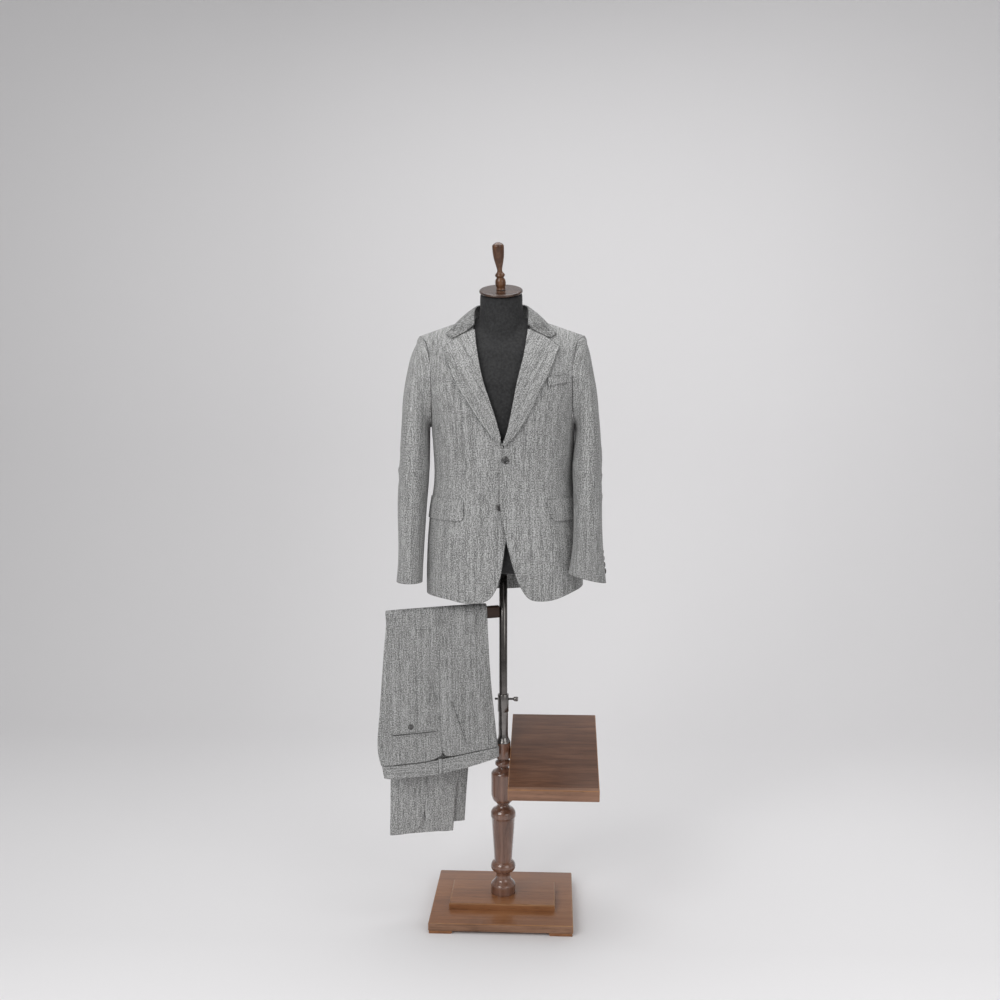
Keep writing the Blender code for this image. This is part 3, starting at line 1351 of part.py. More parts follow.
def clamp():
    """A split collar whose two ears, behind the tube, are drawn together by the screw."""
    ring = (
        (COLLAR_LOW, BORE_RADIUS),
        (COLLAR_HIGH, BORE_RADIUS),
        (COLLAR_HIGH, COLLAR_RADIUS - 0.0008),
        (COLLAR_HIGH - 0.0008, COLLAR_RADIUS),
        (COLLAR_LOW + 0.0008, COLLAR_RADIUS),
        (COLLAR_LOW, COLLAR_RADIUS - 0.0008),
        (COLLAR_LOW, BORE_RADIUS),
    )
    collar_ring = turned("clamp_collar", ring, TUBE_SIDES, STEEL)
    for side in (-1, 1):
        ear = board(
            f"ear_{side}",
            (0.0045, 0.0160, 0.0200),
            (side * 0.0035, 0.0205, SCREW_HEIGHT),
            STEEL,
            bevel=0.0010,
        )
        ear.hide_render = True
        ear.display_type = "WIRE"
        PIECES.objects.unlink(ear)
        CUTTERS.objects.link(ear)
        join = collar_ring.modifiers.new("ear", "BOOLEAN")
        join.operation = "UNION"
        join.object = ear
    hole = board("slit", (0.0022, 0.0200, 0.0600), (0.0, 0.0190, 0.5845), STEEL, bevel=0.0001)
    hole.modifiers.clear()
    bore = turned(
        "screw_bore",
        ((0.02, 0.0), (0.02, SCREW_RADIUS + 0.0004), (-0.02, SCREW_RADIUS + 0.0004), (-0.02, 0.0)),
        TUBE_SIDES,
        STEEL,
    )
    bore.matrix_local = Matrix.Translation((0, SCREW_BACK, SCREW_HEIGHT)) @ Matrix.Rotation(
        math.radians(90), 4, "Y"
    )
    for cutter in (hole, bore):
        cutter.hide_render = True
        cutter.display_type = "WIRE"
        PIECES.objects.unlink(cutter)
        CUTTERS.objects.link(cutter)
        removed = collar_ring.modifiers.new("cut", "BOOLEAN")
        removed.operation = "DIFFERENCE"
        removed.object = cutter


def clamp_screw():
    """The screw through the ears, with its winged knob on the left and a nut end on the right."""
    pivot = bpy.data.objects.new("clamp_screw_axis", None)
    PIECES.objects.link(pivot)
    pivot.parent = MAST
    pivot.location = (0, SCREW_BACK, SCREW_HEIGHT)
    shank = (
        (0.0400, 0.0),
        (0.0400, 0.0050),
        (0.0385, 0.0062),
        (0.0300, 0.0062),
        (0.0275, 0.0045),
        (0.0260, SCREW_RADIUS),
        (-0.0235, SCREW_RADIUS),
        (-0.0245, 0.0022),
        (-0.0245, 0.0),
    )
    screw = turned("clamp_screw", shank, TUBE_SIDES, STEEL)
    screw.parent = pivot
    screw.matrix_local = Matrix.Rotation(math.radians(90), 4, "Y")
    wing = board("wing", (0.0060, 0.0290, 0.0120), (0, 0, 0), STEEL, bevel=0.0020)
    wing.parent = pivot
    wing.location = (0.0352, 0, 0)
    wing.rotation_euler = (math.radians(-12), 0, 0)
    wing.data.transform(Matrix.Scale(1.0, 4))
    wing.hide_render = True
    wing.display_type = "WIRE"
    PIECES.objects.unlink(wing)
    CUTTERS.objects.link(wing)
    join = screw.modifiers.new("wing", "BOOLEAN")
    join.operation = "UNION"
    join.object = wing


def base():
    for name, side in (("runner_right", -1), ("runner_left", 1)):
        place = (side * RUNNER_OUT, BASE_Y, RUNNER_SIZE[2] / 2)
        board(name, RUNNER_SIZE, place, WOOD, bevel=0.0010)
    low = RUNNER_SIZE[2] + 0.0003
    board("base_board", BASE_SIZE, (0, BASE_Y, low + BASE_SIZE[2] / 2), WOOD, bevel=0.0030)
    low = low + BASE_SIZE[2] + 0.0003
    board("step_board", STEP_SIZE, (0, STEP_Y, low + STEP_SIZE[2] / 2), WOOD, bevel=0.0030)


def shelf():
    """Tilted tray beside the post, with a raised lip along its front, on one bearer."""
    tilt = math.radians(SHELF_TILT)
    along = np.array([0.0, math.cos(tilt), math.sin(tilt)])
    up = np.array([0.0, -math.sin(tilt), math.cos(tilt)])
    front = np.array([SHELF_LEFT + SHELF_WIDTH / 2, SHELF_FRONT[0], SHELF_FRONT[1]])
    middle = front + along * SHELF_LENGTH / 2 - up * SHELF_WALL / 2
    tray = board(
        "shelf", (SHELF_WIDTH, SHELF_LENGTH, SHELF_WALL), middle, WOOD, bevel=0.0018, turn=(tilt, 0, 0)
    )
    lip_middle = front + along * (SHELF_LIP_WALL / 2 - 0.006) - up * (SHELF_LIP_DEPTH / 2 - 0.004)
    lip = board(
        "shelf_lip",
        (SHELF_WIDTH, SHELF_LIP_WALL, SHELF_LIP_DEPTH),
        lip_middle,
        WOOD,
        bevel=0.0018,
        turn=(tilt, 0, 0),
    )
    tray.data.transform(Matrix.Identity(4))
    gap = SHELF_LIP_WALL - 0.006 + SEAM
    tray.data.transform(Matrix.Scale((SHELF_LENGTH - gap) / SHELF_LENGTH, 4, (0, 1, 0)))
    tray.location = Vector(front + along * (gap + (SHELF_LENGTH - gap) / 2) - up * SHELF_WALL / 2)
    lip.location = Vector(lip_middle)
    reach = (0.0 - SHELF_FRONT[0]) / math.cos(tilt)
    under = front + along * reach - up * (SHELF_WALL + 0.0004 + BEARER_SIZE[2] / 2)
    bearer = board("shelf_bearer", BEARER_SIZE, (0, 0, 0), WOOD, bevel=0.0020, turn=(tilt, 0, 0))
    bearer.location = Vector((SHELF_LEFT + BEARER_SIZE[0] / 2, under[1], under[2]))


def arm_frame():
    """Matrix from the arm's frame (along, towards the viewer, up) to the mast's."""
    yaw = math.radians(ARM_YAW)
    along = Vector((-math.cos(yaw), -math.sin(yaw), 0))
    toward = Vector((math.sin(yaw), -math.cos(yaw), 0))
    frame = Matrix.Identity(4)
    for row in range(3):
        frame[row][0], frame[row][1], frame[row][2] = along[row], toward[row], (0, 0, 1)[row]
    return frame


def from_arm(points):
    """Points given as (along the arm, towards the viewer, up), in the mast's frame."""
    frame = np.array(arm_frame())[:3, :3]
    return points @ frame.T


def trouser_arm():
    length = ARM_SIZE[0]
    sag = math.radians(ARM_SAG)
    middle = from_arm(np.array([ARM_START + length / 2, 0.0, ARM_HEIGHT - math.tan(sag) * length / 2]))
    thing = board("trouser_arm", ARM_SIZE, middle, WOOD, bevel=0.0060, segments=3)
    turn = Matrix.Rotation(math.radians(180 + ARM_YAW), 4, "Z") @ Matrix.Rotation(sag, 4, "Y")
    thing.matrix_local = Matrix.Translation(Vector(middle)) @ turn


READ_FRONT_ROWS = smooth_table(FRONT_ROWS)
READ_REAR_ROWS = smooth_table(REAR_ROWS)
READ_WAIST = smooth_table(WAIST_ROWS)


def trouser_folds(along, height):
    rise = 0.0
    for row in TROUSER_FOLDS:
        fold = dict(zip(TROUSER_FOLD_COLUMNS, row))
        part = np.clip((height - fold["low"]) / (fold["high"] - fold["low"]), 0, 1)
        middle = fold["along"] + fold["lean"] * (part - 0.5)
        near = np.exp(-(((along - middle) / fold["width"]) ** 2))
        rise = rise + fold["rise"] * np.sin(part * math.pi) ** 2 * near
    return rise


def leg_stations(leg):
    """Stations down one leg: where its middle is, which way it faces, its edges and thickness."""
    first = 0 if leg == "outer" else 2
    stations = []
    half_at, off_at = (6, 4) if leg == "outer" else (7, 5)

    def station(values, off, height, facing, travel):
        return {
            "near": values[first],
            "far": values[first + 1],
            "off": off,
            "height": height,
            "facing": facing,
            "half": values[half_at],
            "travel": travel,
        }

    front_travel = FOLD_MIDDLE - READ_WAIST(0.188)[0]
    for t in LEG_STATIONS_FRONT:
        values = READ_FRONT_ROWS(t * FRONT_ROWS[-1][0])
        height = FOLD_MIDDLE - t * front_travel
        stations.append(station(values, values[off_at], height, 0.0, t))
    over = READ_FRONT_ROWS(0.0)
    radius = over[off_at]
    for k in range(1, LEG_STEPS_OVER):
        turn = math.pi * k / LEG_STEPS_OVER
        height = FOLD_MIDDLE + radius * math.sin(turn)
        stations.append(station(over, radius * math.cos(turn), height, turn, 0.0))
    hem = HEM_OUTER if leg == "outer" else HEM_INNER
    for t in np.linspace(0, 1, LEG_STEPS_REAR + 1):
        values = READ_REAR_ROWS(t * REAR_ROWS[-1][0])
        height = FOLD_MIDDLE - t * (FOLD_MIDDLE - hem)
        stations.append(station(values, -values[off_at], height, math.pi, -t))
    return stations


LEG_ACROSS = (0.0, 0.05, 0.28, 0.52, 0.76, 1.0)


def leg_ring(place, leg, start, end, rounded_start):
    """Ring round one panel of a flattened leg, between two parts of its width. The end at the
    crease is rounded, and the end at the side seam is square."""
    near, far, half = place["near"], place["far"], place["half"]
    facing = np.array([math.cos(place["facing"]), math.sin(place["facing"])])
    rows = []
    for face in (1, -1):
        across = np.array(LEG_ACROSS)
        if not rounded_start:
            across = 1 - across[::-1]
        width = start + (end - start) * across
        along = near + (far - near) * width
        crease = across[:, None][:, 0] if rounded_start else 1 - across
        edge = np.sqrt(np.clip(1 - (1 - np.clip(crease / 0.05, 0, 1)) ** 2, 0.06, 1))
        out = face * half * edge
        if face > 0 and leg == "outer" and place["facing"] == 0.0:
            out = out + trouser_folds(along, place["height"]) * np.clip(crease / 0.05, 0, 1)
        off = place["off"] * np.ones_like(along) + facing[0] * out
        height = place["height"] + facing[1] * out - FOLD_SLOPE * (along - 0.06)
        waist_drop = READ_WAIST(along)[..., 0] - READ_WAIST(0.188)[0] + FOLD_SLOPE * (along - 0.06)
        height = height + waist_drop * step_between(place["travel"], 0.0, 1.0)
        if place["travel"] < 0:
            height = height + FOLD_SLOPE * (along - 0.06) * step_between(place["travel"], 0.0, -1.0)
        line = np.stack([along, off, height], -1)
        rows.append(line if face > 0 else line[::-1])
    return from_arm(np.concatenate(rows))


def inset_ring(ring, wall_size, rise):
    """The same ring drawn in towards its middle line, for the mouth of a hem."""
    half = len(ring) // 2
    front, back = ring[:half], ring[half:][::-1]
    toward = unit(back - front)
    front_in, back_in = front + toward * wall_size, back - toward * wall_size
    for line in (front_in, back_in):
        line[0] += unit(line[1] - line[0]) * wall_size
        line[-1] += unit(line[-2] - line[-1]) * wall_size
    inner = np.concatenate([front_in, back_in[::-1]])
    inner[:, 2] += rise
    return inner


def trouser_leg(side_name, leg):
    """One leg, flat between its creases, over the arm: a front panel and a back panel."""
    stations = leg_stations(leg)
    span = SEAM / 2 / 0.19
    for piece, start, end, rounded in (
        ("front", 0.0, SIDE_SEAM - span, True),
        ("back", SIDE_SEAM + span, 1.0, False),
    ):
        rings = [leg_ring(s, leg, start, end, rounded) for s in stations]
        mouth = inset_ring(rings[-1], HEM_WALL, 0.0)
        rings += [mouth, mouth + np.array([0, 0, HEM_DEPTH])]
        loft(f"trouser_{side_name}_{piece}", rings, WOOL)


def waistband():
    """A closed band round the waist opening, parted at the fly and the centre back."""
    half_off = (BAND_FRONT - BAND_BACK) / 2
    middle_off = (BAND_FRONT + BAND_BACK) / 2
    for name, face in (("waistband_left", 1), ("waistband_right", -1)):
        t = np.linspace(0, 1, BAND_STEPS + 1)
        turn = t * math.pi
        outer_rows, inner_rows = [], []
        for level in (0, 1):
            for rows, inset in ((outer_rows, 0.0), (inner_rows, BAND_WALL)):
                far = BAND_FAR - BAND_TAPER * level
                half_along = (far - BAND_NEAR) / 2 - inset
                along = (far + BAND_NEAR) / 2 - half_along * signed_power(np.cos(turn), 0.8)
                deep = (half_off - inset) * np.sin(turn) ** 0.35
                deep = np.maximum(deep, SEAM / 2)
                off = middle_off + face * deep
                values = READ_WAIST(along)
                height = values[..., 0] - WAIST_GAP if level == 0 else values[..., 1]
                rows.append(from_arm(np.stack([along, off, height], -1)))
        wall(name, np.array(outer_rows), np.array(inner_rows), WOOL)


def arm_face(along, height):
    """Distance of the outer leg's visible face from the arm's middle."""
    front_travel = FOLD_MIDDLE - READ_WAIST(0.188)[0]
    waist = READ_WAIST(along)[..., 0]
    top = FOLD_MIDDLE - FOLD_SLOPE * (along - 0.06)
    t = np.clip((top - height) / (top - waist), 0, 1)
    values = READ_FRONT_ROWS(t * FRONT_ROWS[-1][0])
    return values[..., 4] + values[..., 6] + trouser_folds(along, height) + 0 * front_travel


def strip(name, start, end, depth, out, thick, steps=4):
    """A narrow strip on the visible face of the trousers, between two (along, height) places."""
    start, end = np.array(start), np.array(end)
    along_line = (end - start) / np.linalg.norm(end - start)
    across = np.array([along_line[1], -along_line[0]])
    t = np.linspace(0, 1, steps + 1)[:, None]
    rows_out, rows_in = [], []
    for edge in (-0.5, 0.5):
        flat = start + (end - start) * t + across * depth * edge
        off = arm_face(flat[:, 0], flat[:, 1])
        rows_in.append(from_arm(np.stack([flat[:, 0], off + out, flat[:, 1]], -1)))
        rows_out.append(from_arm(np.stack([flat[:, 0], off + out + thick, flat[:, 1]], -1)))
    wall(name, np.array(rows_out), np.array(rows_in), WOOL)


def belt_loops():
    for name, face in (("belt_loop_left", 1), ("belt_loop_right", -1)):
        along = np.array([0.1775, 0.1865])
        off = (BAND_FRONT + 0.0006) if face > 0 else (BAND_BACK - 0.0006)
        thick = 0.0016 * face
        high = float(READ_WAIST(0.182)[0]) + 0.004
        low = float(READ_WAIST(0.182)[1]) + 0.002
        rows_in, rows_out = [], []
        for height, bow in ((high, 0.0), ((high + low) / 2, 0.0016), (low, 0.0)):
            for rows, extra in ((rows_in, 0.0), (rows_out, thick)):
                line = np.stack([along, np.full(2, off + extra + bow * face), np.full(2, height)], -1)
                rows.append(from_arm(line))
        wall(name, np.array(rows_out), np.array(rows_in), WOOL)


def pocket_button():
    along, height = POCKET_BUTTON
    off = float(arm_face(np.array(along), np.array(height)))
    place = from_arm(np.array([along, off, height]))
    normal = from_arm(np.array([0.0, 1.0, 0.0]))
    button("back_pocket_button", 0.0075, 0.0026, CUFF_BUTTON_SIDES, place, normal, 0.0009)


clear_scene()
PIECES = bpy.data.collections.new("suit_on_dress_form_stand")
CUTTERS = bpy.data.collections.new("cutters")
for group in (PIECES, CUTTERS):
    bpy.context.scene.collection.children.link(group)
MAST = bpy.data.objects.new("mast_axis", None)
MAST.location = (MAST_X, MAST_Y, 0.0)
PIECES.objects.link(MAST)

WOOL = make_material("suiting", WOOL_GREY, 0.85)
HORN = make_material("horn", HORN_GREY, 0.25)
CLOTH_BLACK = make_material("form_cloth", FORM_BLACK, 0.80)
WOOD = make_material("stained_wood", WOOD_BROWN, 0.30)
STEEL = make_material("chromed_steel", CHROME, 0.15, 1.0)

front_panel("front_left", 1, LEFT_EDGE, LEFT_BREAK, True)
front_panel("front_right", -1, RIGHT_EDGE, RIGHT_BREAK, False)
for side_name, side in (("left", 1), ("right", -1)):
    side_panel(f"side_{side_name}", side)
    back_panel(f"back_{side_name}", side)
    flap(f"flap_{side_name}", side)
lapel("lapel_left", 1, LEFT_EDGE, LEFT_LAPEL, True)
lapel("lapel_right", -1, RIGHT_EDGE, RIGHT_LAPEL, False)
collar()
breast_welt()
front_buttons()
sleeve("sleeve_left", 1, SLEEVE_LEFT, HEAD_LEFT)
sleeve("sleeve_right", -1, SLEEVE_RIGHT, HEAD_RIGHT)
trouser_leg("left", "outer")
trouser_leg("right", "inner")
waistband()
belt_loops()
strip("back_pocket_left", *POCKET_LINE, POCKET_DEPTH, 0.0006, 0.0014)
strip("front_pocket_left", *FRONT_POCKET, FRONT_POCKET_DEPTH, 0.0006, 0.0012)
pocket_button()
dress_form()
neck_cap_and_finial()
mast_and_post()
clamp()
clamp_screw()
base()
shelf()
trouser_arm()
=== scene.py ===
"""Looks of a two-piece suit on a limbless dress-form stand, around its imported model."""

import math

import bmesh
import bpy
import numpy as np
from mathutils import Matrix, Vector
from mathutils.bvhtree import BVHTree
from mathutils.kdtree import KDTree


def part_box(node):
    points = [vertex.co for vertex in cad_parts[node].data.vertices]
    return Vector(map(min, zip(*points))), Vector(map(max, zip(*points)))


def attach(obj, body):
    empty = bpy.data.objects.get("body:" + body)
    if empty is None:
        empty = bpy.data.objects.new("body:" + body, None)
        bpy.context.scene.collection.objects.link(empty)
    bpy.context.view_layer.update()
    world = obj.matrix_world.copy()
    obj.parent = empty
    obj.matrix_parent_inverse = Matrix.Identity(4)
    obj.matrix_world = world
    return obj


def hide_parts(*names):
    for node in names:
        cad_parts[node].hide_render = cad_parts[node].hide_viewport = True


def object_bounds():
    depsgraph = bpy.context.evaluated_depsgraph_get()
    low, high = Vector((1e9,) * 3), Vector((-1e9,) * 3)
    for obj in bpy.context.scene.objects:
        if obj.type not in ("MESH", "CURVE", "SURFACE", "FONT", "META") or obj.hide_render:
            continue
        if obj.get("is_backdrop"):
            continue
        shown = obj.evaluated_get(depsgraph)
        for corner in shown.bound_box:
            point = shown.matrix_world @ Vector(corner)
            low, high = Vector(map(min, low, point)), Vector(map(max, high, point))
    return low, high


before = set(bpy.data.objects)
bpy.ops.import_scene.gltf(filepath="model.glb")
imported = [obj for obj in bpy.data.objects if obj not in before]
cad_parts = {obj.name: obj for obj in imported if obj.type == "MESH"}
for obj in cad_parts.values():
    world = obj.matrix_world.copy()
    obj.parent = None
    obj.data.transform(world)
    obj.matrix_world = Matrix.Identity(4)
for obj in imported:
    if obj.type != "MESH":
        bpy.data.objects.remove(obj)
solid_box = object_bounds()

# Runners
# Two flat strips of stained hardwood under the ends of the base, as long as the base is deep.
# They are glued and screwed from below, and their inner lower edges are rounded.


def deselect_all():
    bpy.ops.object.select_all(action="DESELECT")


def pick(piece):
    """Selects one piece alone and makes it the active one."""
    deselect_all()
    piece.select_set(True)
    bpy.context.view_layer.objects.active = piece


def new_finish(name):
    """A bare material and its shader, with three tools. Feed links a socket to another node's
    output, or sets it to a number or colour. Add makes a node and gives back one output.
    Graded gives a colour by a value, from steps of position and colour."""
    material = bpy.data.materials.new(name)
    material.use_nodes = True
    tree = material.node_tree

    def feed(node, sockets):
        for key, value in sockets.items():
            if isinstance(value, bpy.types.NodeSocket):
                tree.links.new(value, node.inputs[key])
            else:
                node.inputs[key].default_value = value

    def add(kind, output, sockets, **settings):
        node = tree.nodes.new(f"ShaderNode{kind}")
        for key, value in settings.items():
            setattr(node, key, value)
        feed(node, sockets)
        return node.outputs[output]

    def graded(value, *steps):
        node = tree.nodes.new("ShaderNodeValToRGB")
        marks = node.color_ramp.elements
        for mark, (position, colour) in zip((marks[0], marks[1]), (steps[0], steps[-1])):
            mark.position = position
            mark.color = (*colour, 1)
        for position, colour in steps[1:-1]:
            marks.new(position).color = (*colour, 1)
        feed(node, {"Fac": value})
        return node.outputs["Color"]

    return material, tree.nodes["Principled BSDF"], feed, add, graded


def stained_wood(name, grain, colours, gloss=0.30, figure=1.0, coat=0.22):
    """Hardwood under brown stain and varnish. Grain is the axis that its fibres run along."""
    material, shader, feed, add, graded = new_finish(name)
    place = add("TexCoord", "Object", {})
    fibres = [0.07 if axis == grain else 1.0 for axis in "XYZ"]
    stretched = add("Mapping", "Vector", {"Scale": fibres, "Vector": place})
    growth = {"Scale": 42.0 * figure, "Detail": 5.0, "Distortion": 0.7, "Vector": stretched}
    bands = add("TexNoise", "Fac", growth)
    pores = add("TexNoise", "Fac", {"Scale": 520.0, "Detail": 2.0, "Vector": stretched})
    clouds = add("TexNoise", "Fac", {"Scale": 7.0, "Detail": 3.0, "Vector": place})
    blend = add("Mix", 0, {0: 0.35, 2: bands, 3: clouds}, data_type="FLOAT")
    dark, middle, light = colours
    stain = graded(blend, (0.30, dark), (0.50, middle), (0.72, light))
    filled = {"From Min": 0.30, "From Max": 0.46, "To Min": 0.72, "Value": pores}
    shade = {"Factor": 1.0, 6: stain, 7: add("MapRange", "Result", filled)}
    relief = {"Strength": 0.30, "Distance": 0.0004, "Height": pores}
    worn = {"To Min": gloss, "To Max": gloss + 0.16, "Value": clouds}
    varnish = {
        "Base Color": add("Mix", 2, shade, data_type="RGBA", blend_type="MULTIPLY"),
        "Roughness": add("MapRange", "Result", worn),
        "Normal": add("Bump", "Normal", relief),
        "Specular IOR Level": 0.35,
        "Coat Weight": coat,
        "Coat Roughness": 0.10,
    }
    feed(shader, varnish)
    return material


STAIN = ((0.160, 0.064, 0.025), (0.252, 0.104, 0.041), (0.325, 0.146, 0.062))
WORN = ((0.190, 0.080, 0.030), (0.300, 0.140, 0.058), (0.400, 0.215, 0.105))
worn_edge = stained_wood("worn_edge", "X", WORN)


def block(name, size, wood):
    """A squared piece, sawn to size about the origin, before its edges are worked."""
    deselect_all()
    bpy.ops.mesh.primitive_cube_add(size=1.0, location=(0, 0, 0), scale=size)
    piece = bpy.context.object
    piece.name = name
    bpy.ops.object.transform_apply(location=False, rotation=False, scale=True)
    piece.data.materials.append(wood)
    piece.data.materials.append(worn_edge)
    return piece


def round_edges(piece, width, segments, chosen, material=1):
    """Rounds the edges whose middle and direction are chosen, as with a plane and sandpaper."""
    bpy.ops.object.mode_set(mode="EDIT")
    bpy.ops.mesh.select_mode(type="EDGE")
    bpy.ops.mesh.select_all(action="DESELECT")
    shape = bmesh.from_edit_mesh(piece.data)
    for edge in shape.edges:
        middle = (edge.verts[0].co + edge.verts[1].co) / 2
        line = edge.verts[1].co - edge.verts[0].co
        if chosen(middle, line):
            edge.select_set(True)
    bmesh.update_edit_mesh(piece.data)
    bpy.ops.mesh.bevel(offset=width, segments=segments, profile=0.5, material=material)
    bpy.ops.object.mode_set(mode="OBJECT")


def set_down(piece, body, nodes, middle=(0, 0, 0), turn=(0, 0, 0), flat_under=38.0):
    """Puts a finished piece in its place, with the place in its mesh, in its node's stead."""
    pick(piece)
    piece.location = middle
    piece.rotation_euler = turn
    bpy.ops.object.transform_apply(location=True, rotation=True, scale=True)
    bpy.ops.object.shade_smooth_by_angle(angle=math.radians(flat_under))
    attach(piece, body)
    if nodes:
        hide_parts(*nodes)
    return piece


def size_and_middle(node):
    low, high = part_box(node)
    return high - low, (low + high) / 2


runner_wood = stained_wood("runner_wood", "Y", STAIN)
for node, inner in (("runner_right", 1), ("runner_left", -1)):
    size, middle = size_and_middle(node)
    runner = block(f"wood_{node}", size, runner_wood)
    inner_lower = lambda m, line: abs(line.y) > 0.1 and m.z < 0 and m.x * inner > 0
    round_edges(runner, 0.0050, 5, inner_lower, material=0)
    round_edges(runner, 0.0008, 2, lambda m, line: m.z > 0 or abs(m.y) > 0.1)
    set_down(runner, "stand", [node], middle)

# Base board
# A thick board of stained hardwood with its grain across, sanded round at the top edges
# and varnished. It lies on the runners.
base_wood = stained_wood("base_wood", "X", STAIN)
size, middle = size_and_middle("base_board")
base_board = block("wood_base_board", size, base_wood)
round_edges(base_board, 0.0030, 4, lambda m, line: m.z > 0 or abs(line.z) > 0.005)
round_edges(base_board, 0.0010, 2, lambda m, line: m.z < -0.0095 and abs(line.z) < 1e-4)
# Painted light: the front face of the base gets a brighter copy of the stain, with a finer figure.
PAINTED_LIGHT_FRONT_STAIN = ((0.110, 0.048, 0.022), (0.260, 0.135, 0.078), (0.420, 0.255, 0.165))
base_board.data.materials.append(stained_wood("base_front_wood", "X", PAINTED_LIGHT_FRONT_STAIN, figure=2.0))
for face in base_board.data.polygons:
    if face.normal.y < -0.9:
        face.material_index = 2
set_down(base_board, "stand", ["base_board"], middle)

# Step board
# A second, smaller board screwed down on the base. Its top edge is rounded wider.
step_wood = stained_wood("step_wood", "X", STAIN, figure=0.8)
size, middle = size_and_middle("step_board")
step_board = block("wood_step_board", size, step_wood)
round_edges(step_board, 0.0040, 5, lambda m, line: m.z > 0)
round_edges(step_board, 0.0010, 2, lambda m, line: abs(line.z) > 0.005)
set_down(step_board, "stand", ["step_board"], middle)

# Post
# A hardwood post turned on a lathe: a foot, a bead, a tapered shaft, a necked block and a cap.
# It is stained and varnished, and bored for the tubes.
mast_x, mast_y = 0.0284, 0.0142
POST_OUTLINE = (
    (0.0115, 0.1850), (0.0115, 0.4730), (0.0200, 0.4730), (0.0200, 0.4300),
    (0.0150, 0.4260), (0.0220, 0.4180), (0.0225, 0.4120), (0.0148, 0.4040),
    (0.0200, 0.3980), (0.0290, 0.3930), (0.0332, 0.3860), (0.0332, 0.3270),
    (0.0285, 0.3120), (0.0205, 0.3040), (0.0165, 0.2980), (0.0190, 0.2920),
    (0.0288, 0.2860), (0.0345, 0.2740), (0.0345, 0.2660), (0.0322, 0.2600),
    (0.0242, 0.1380), (0.0305, 0.1340), (0.0343, 0.1230), (0.0305, 0.1120),
    (0.0220, 0.1060), (0.0198, 0.0980), (0.0225, 0.0860), (0.0282, 0.0790),
    (0.0340, 0.0710), (0.0340, 0.0473),
)


def flowing(outline, sharp=(), between=4):
    """The outline with smooth curves through its points, and corners at the sharp ones."""
    points = np.array(outline, float)
    gaps = np.linalg.norm(np.diff(points, axis=0), axis=1)
    rates = np.diff(points, axis=0) / gaps[:, None]
    slopes = np.zeros_like(points)
    both = rates[:-1] * rates[1:] > 0
    mean = 2 * rates[:-1] * rates[1:] / np.where(both, rates[:-1] + rates[1:], 1.0)
    slopes[1:-1] = np.where(both, mean, 0.0)
    slopes[0], slopes[-1] = rates[0], rates[-1]
    line = [points[0]]
    for i, gap in enumerate(gaps):
        start, end = slopes[i], slopes[i + 1]
        start = rates[i] if i in sharp else start
        end = rates[i] if i + 1 in sharp else end
        for t in np.linspace(0, 1, between + 1)[1:]:
            line.append(
                (1 + 2 * t) * (1 - t) ** 2 * points[i]
                + t * (1 - t) ** 2 * gap * start
                + t * t * (3 - 2 * t) * points[i + 1]
                + t * t * (t - 1) * gap * end
            )
    return np.array(line)


def turn_on_lathe(name, line, material, steps=64):
    """Draws (radius, height) point by point in edit mode and spins it round the upright axis."""
    deselect_all()
    bpy.ops.mesh.primitive_plane_add(size=0.01, location=(0, 0, 0))
    piece = bpy.context.object
    piece.name = name
    bpy.ops.object.mode_set(mode="EDIT")
    bpy.ops.mesh.select_mode(type="VERT")
    bpy.ops.mesh.select_all(action="SELECT")
    bpy.ops.mesh.merge(type="CENTER")
    bpy.ops.transform.translate(value=(line[0][0], 0, line[0][1]))
    for start, end in zip(line[:-1], line[1:]):
        step = (end[0] - start[0], 0, end[1] - start[1])
        bpy.ops.mesh.extrude_region_move(TRANSFORM_OT_translate={"value": step})
    bpy.ops.mesh.select_all(action="SELECT")
    bpy.ops.mesh.spin(steps=steps, angle=2 * math.pi, center=(0, 0, 0), axis=(0, 0, 1))
    bpy.ops.mesh.select_all(action="SELECT")
    bpy.ops.mesh.remove_doubles(threshold=0.00002)
    bpy.ops.mesh.normals_make_consistent(inside=False)
    bpy.ops.object.mode_set(mode="OBJECT")
    piece.data.materials.append(material)
    return piece


POST_STAIN = ((0.065, 0.027, 0.015), (0.162, 0.078, 0.051), (0.280, 0.152, 0.106))
post_wood = stained_wood("post_wood", "Z", POST_STAIN, gloss=0.14, figure=1.6, coat=1.0)
line = flowing(POST_OUTLINE, sharp=(0, 1, 2, 3, 11, 19, 20, 29))
line = [(0.0, 0.1850), *line, (0.0, 0.0473)]
post = turn_on_lathe("wood_post", line, post_wood)
set_down(post, "stand", ["post"], (mast_x, mast_y, 0))

# Lower tube
# A chromed steel tube set in the post, with a flared ferrule that covers the joint.


def chromed_steel(name, colour, rough=0.14):
    """Bright plating with fine polishing lines round it and a little tarnish."""
    material, shader, feed, add, graded = new_finish(name)
    place = add("TexCoord", "Object", {})
    flattened = add("Mapping", "Vector", {"Scale": (0.3, 0.3, 4.0), "Vector": place})
    lines = add("TexNoise", "Fac", {"Scale": 260.0, "Vector": flattened})
    tarnish = add("TexNoise", "Fac", {"Scale": 34.0, "Detail": 4.0, "Vector": place})
    plating = graded(tarnish, (0.34, [c * 0.62 for c in colour]), (0.62, colour))
    polish = add("MapRange", "Result", {"To Min": rough, "To Max": rough + 0.16, "Value": lines})
    feed(shader, {"Metallic": 1.0, "Base Color": plating, "Roughness": polish})
    return material


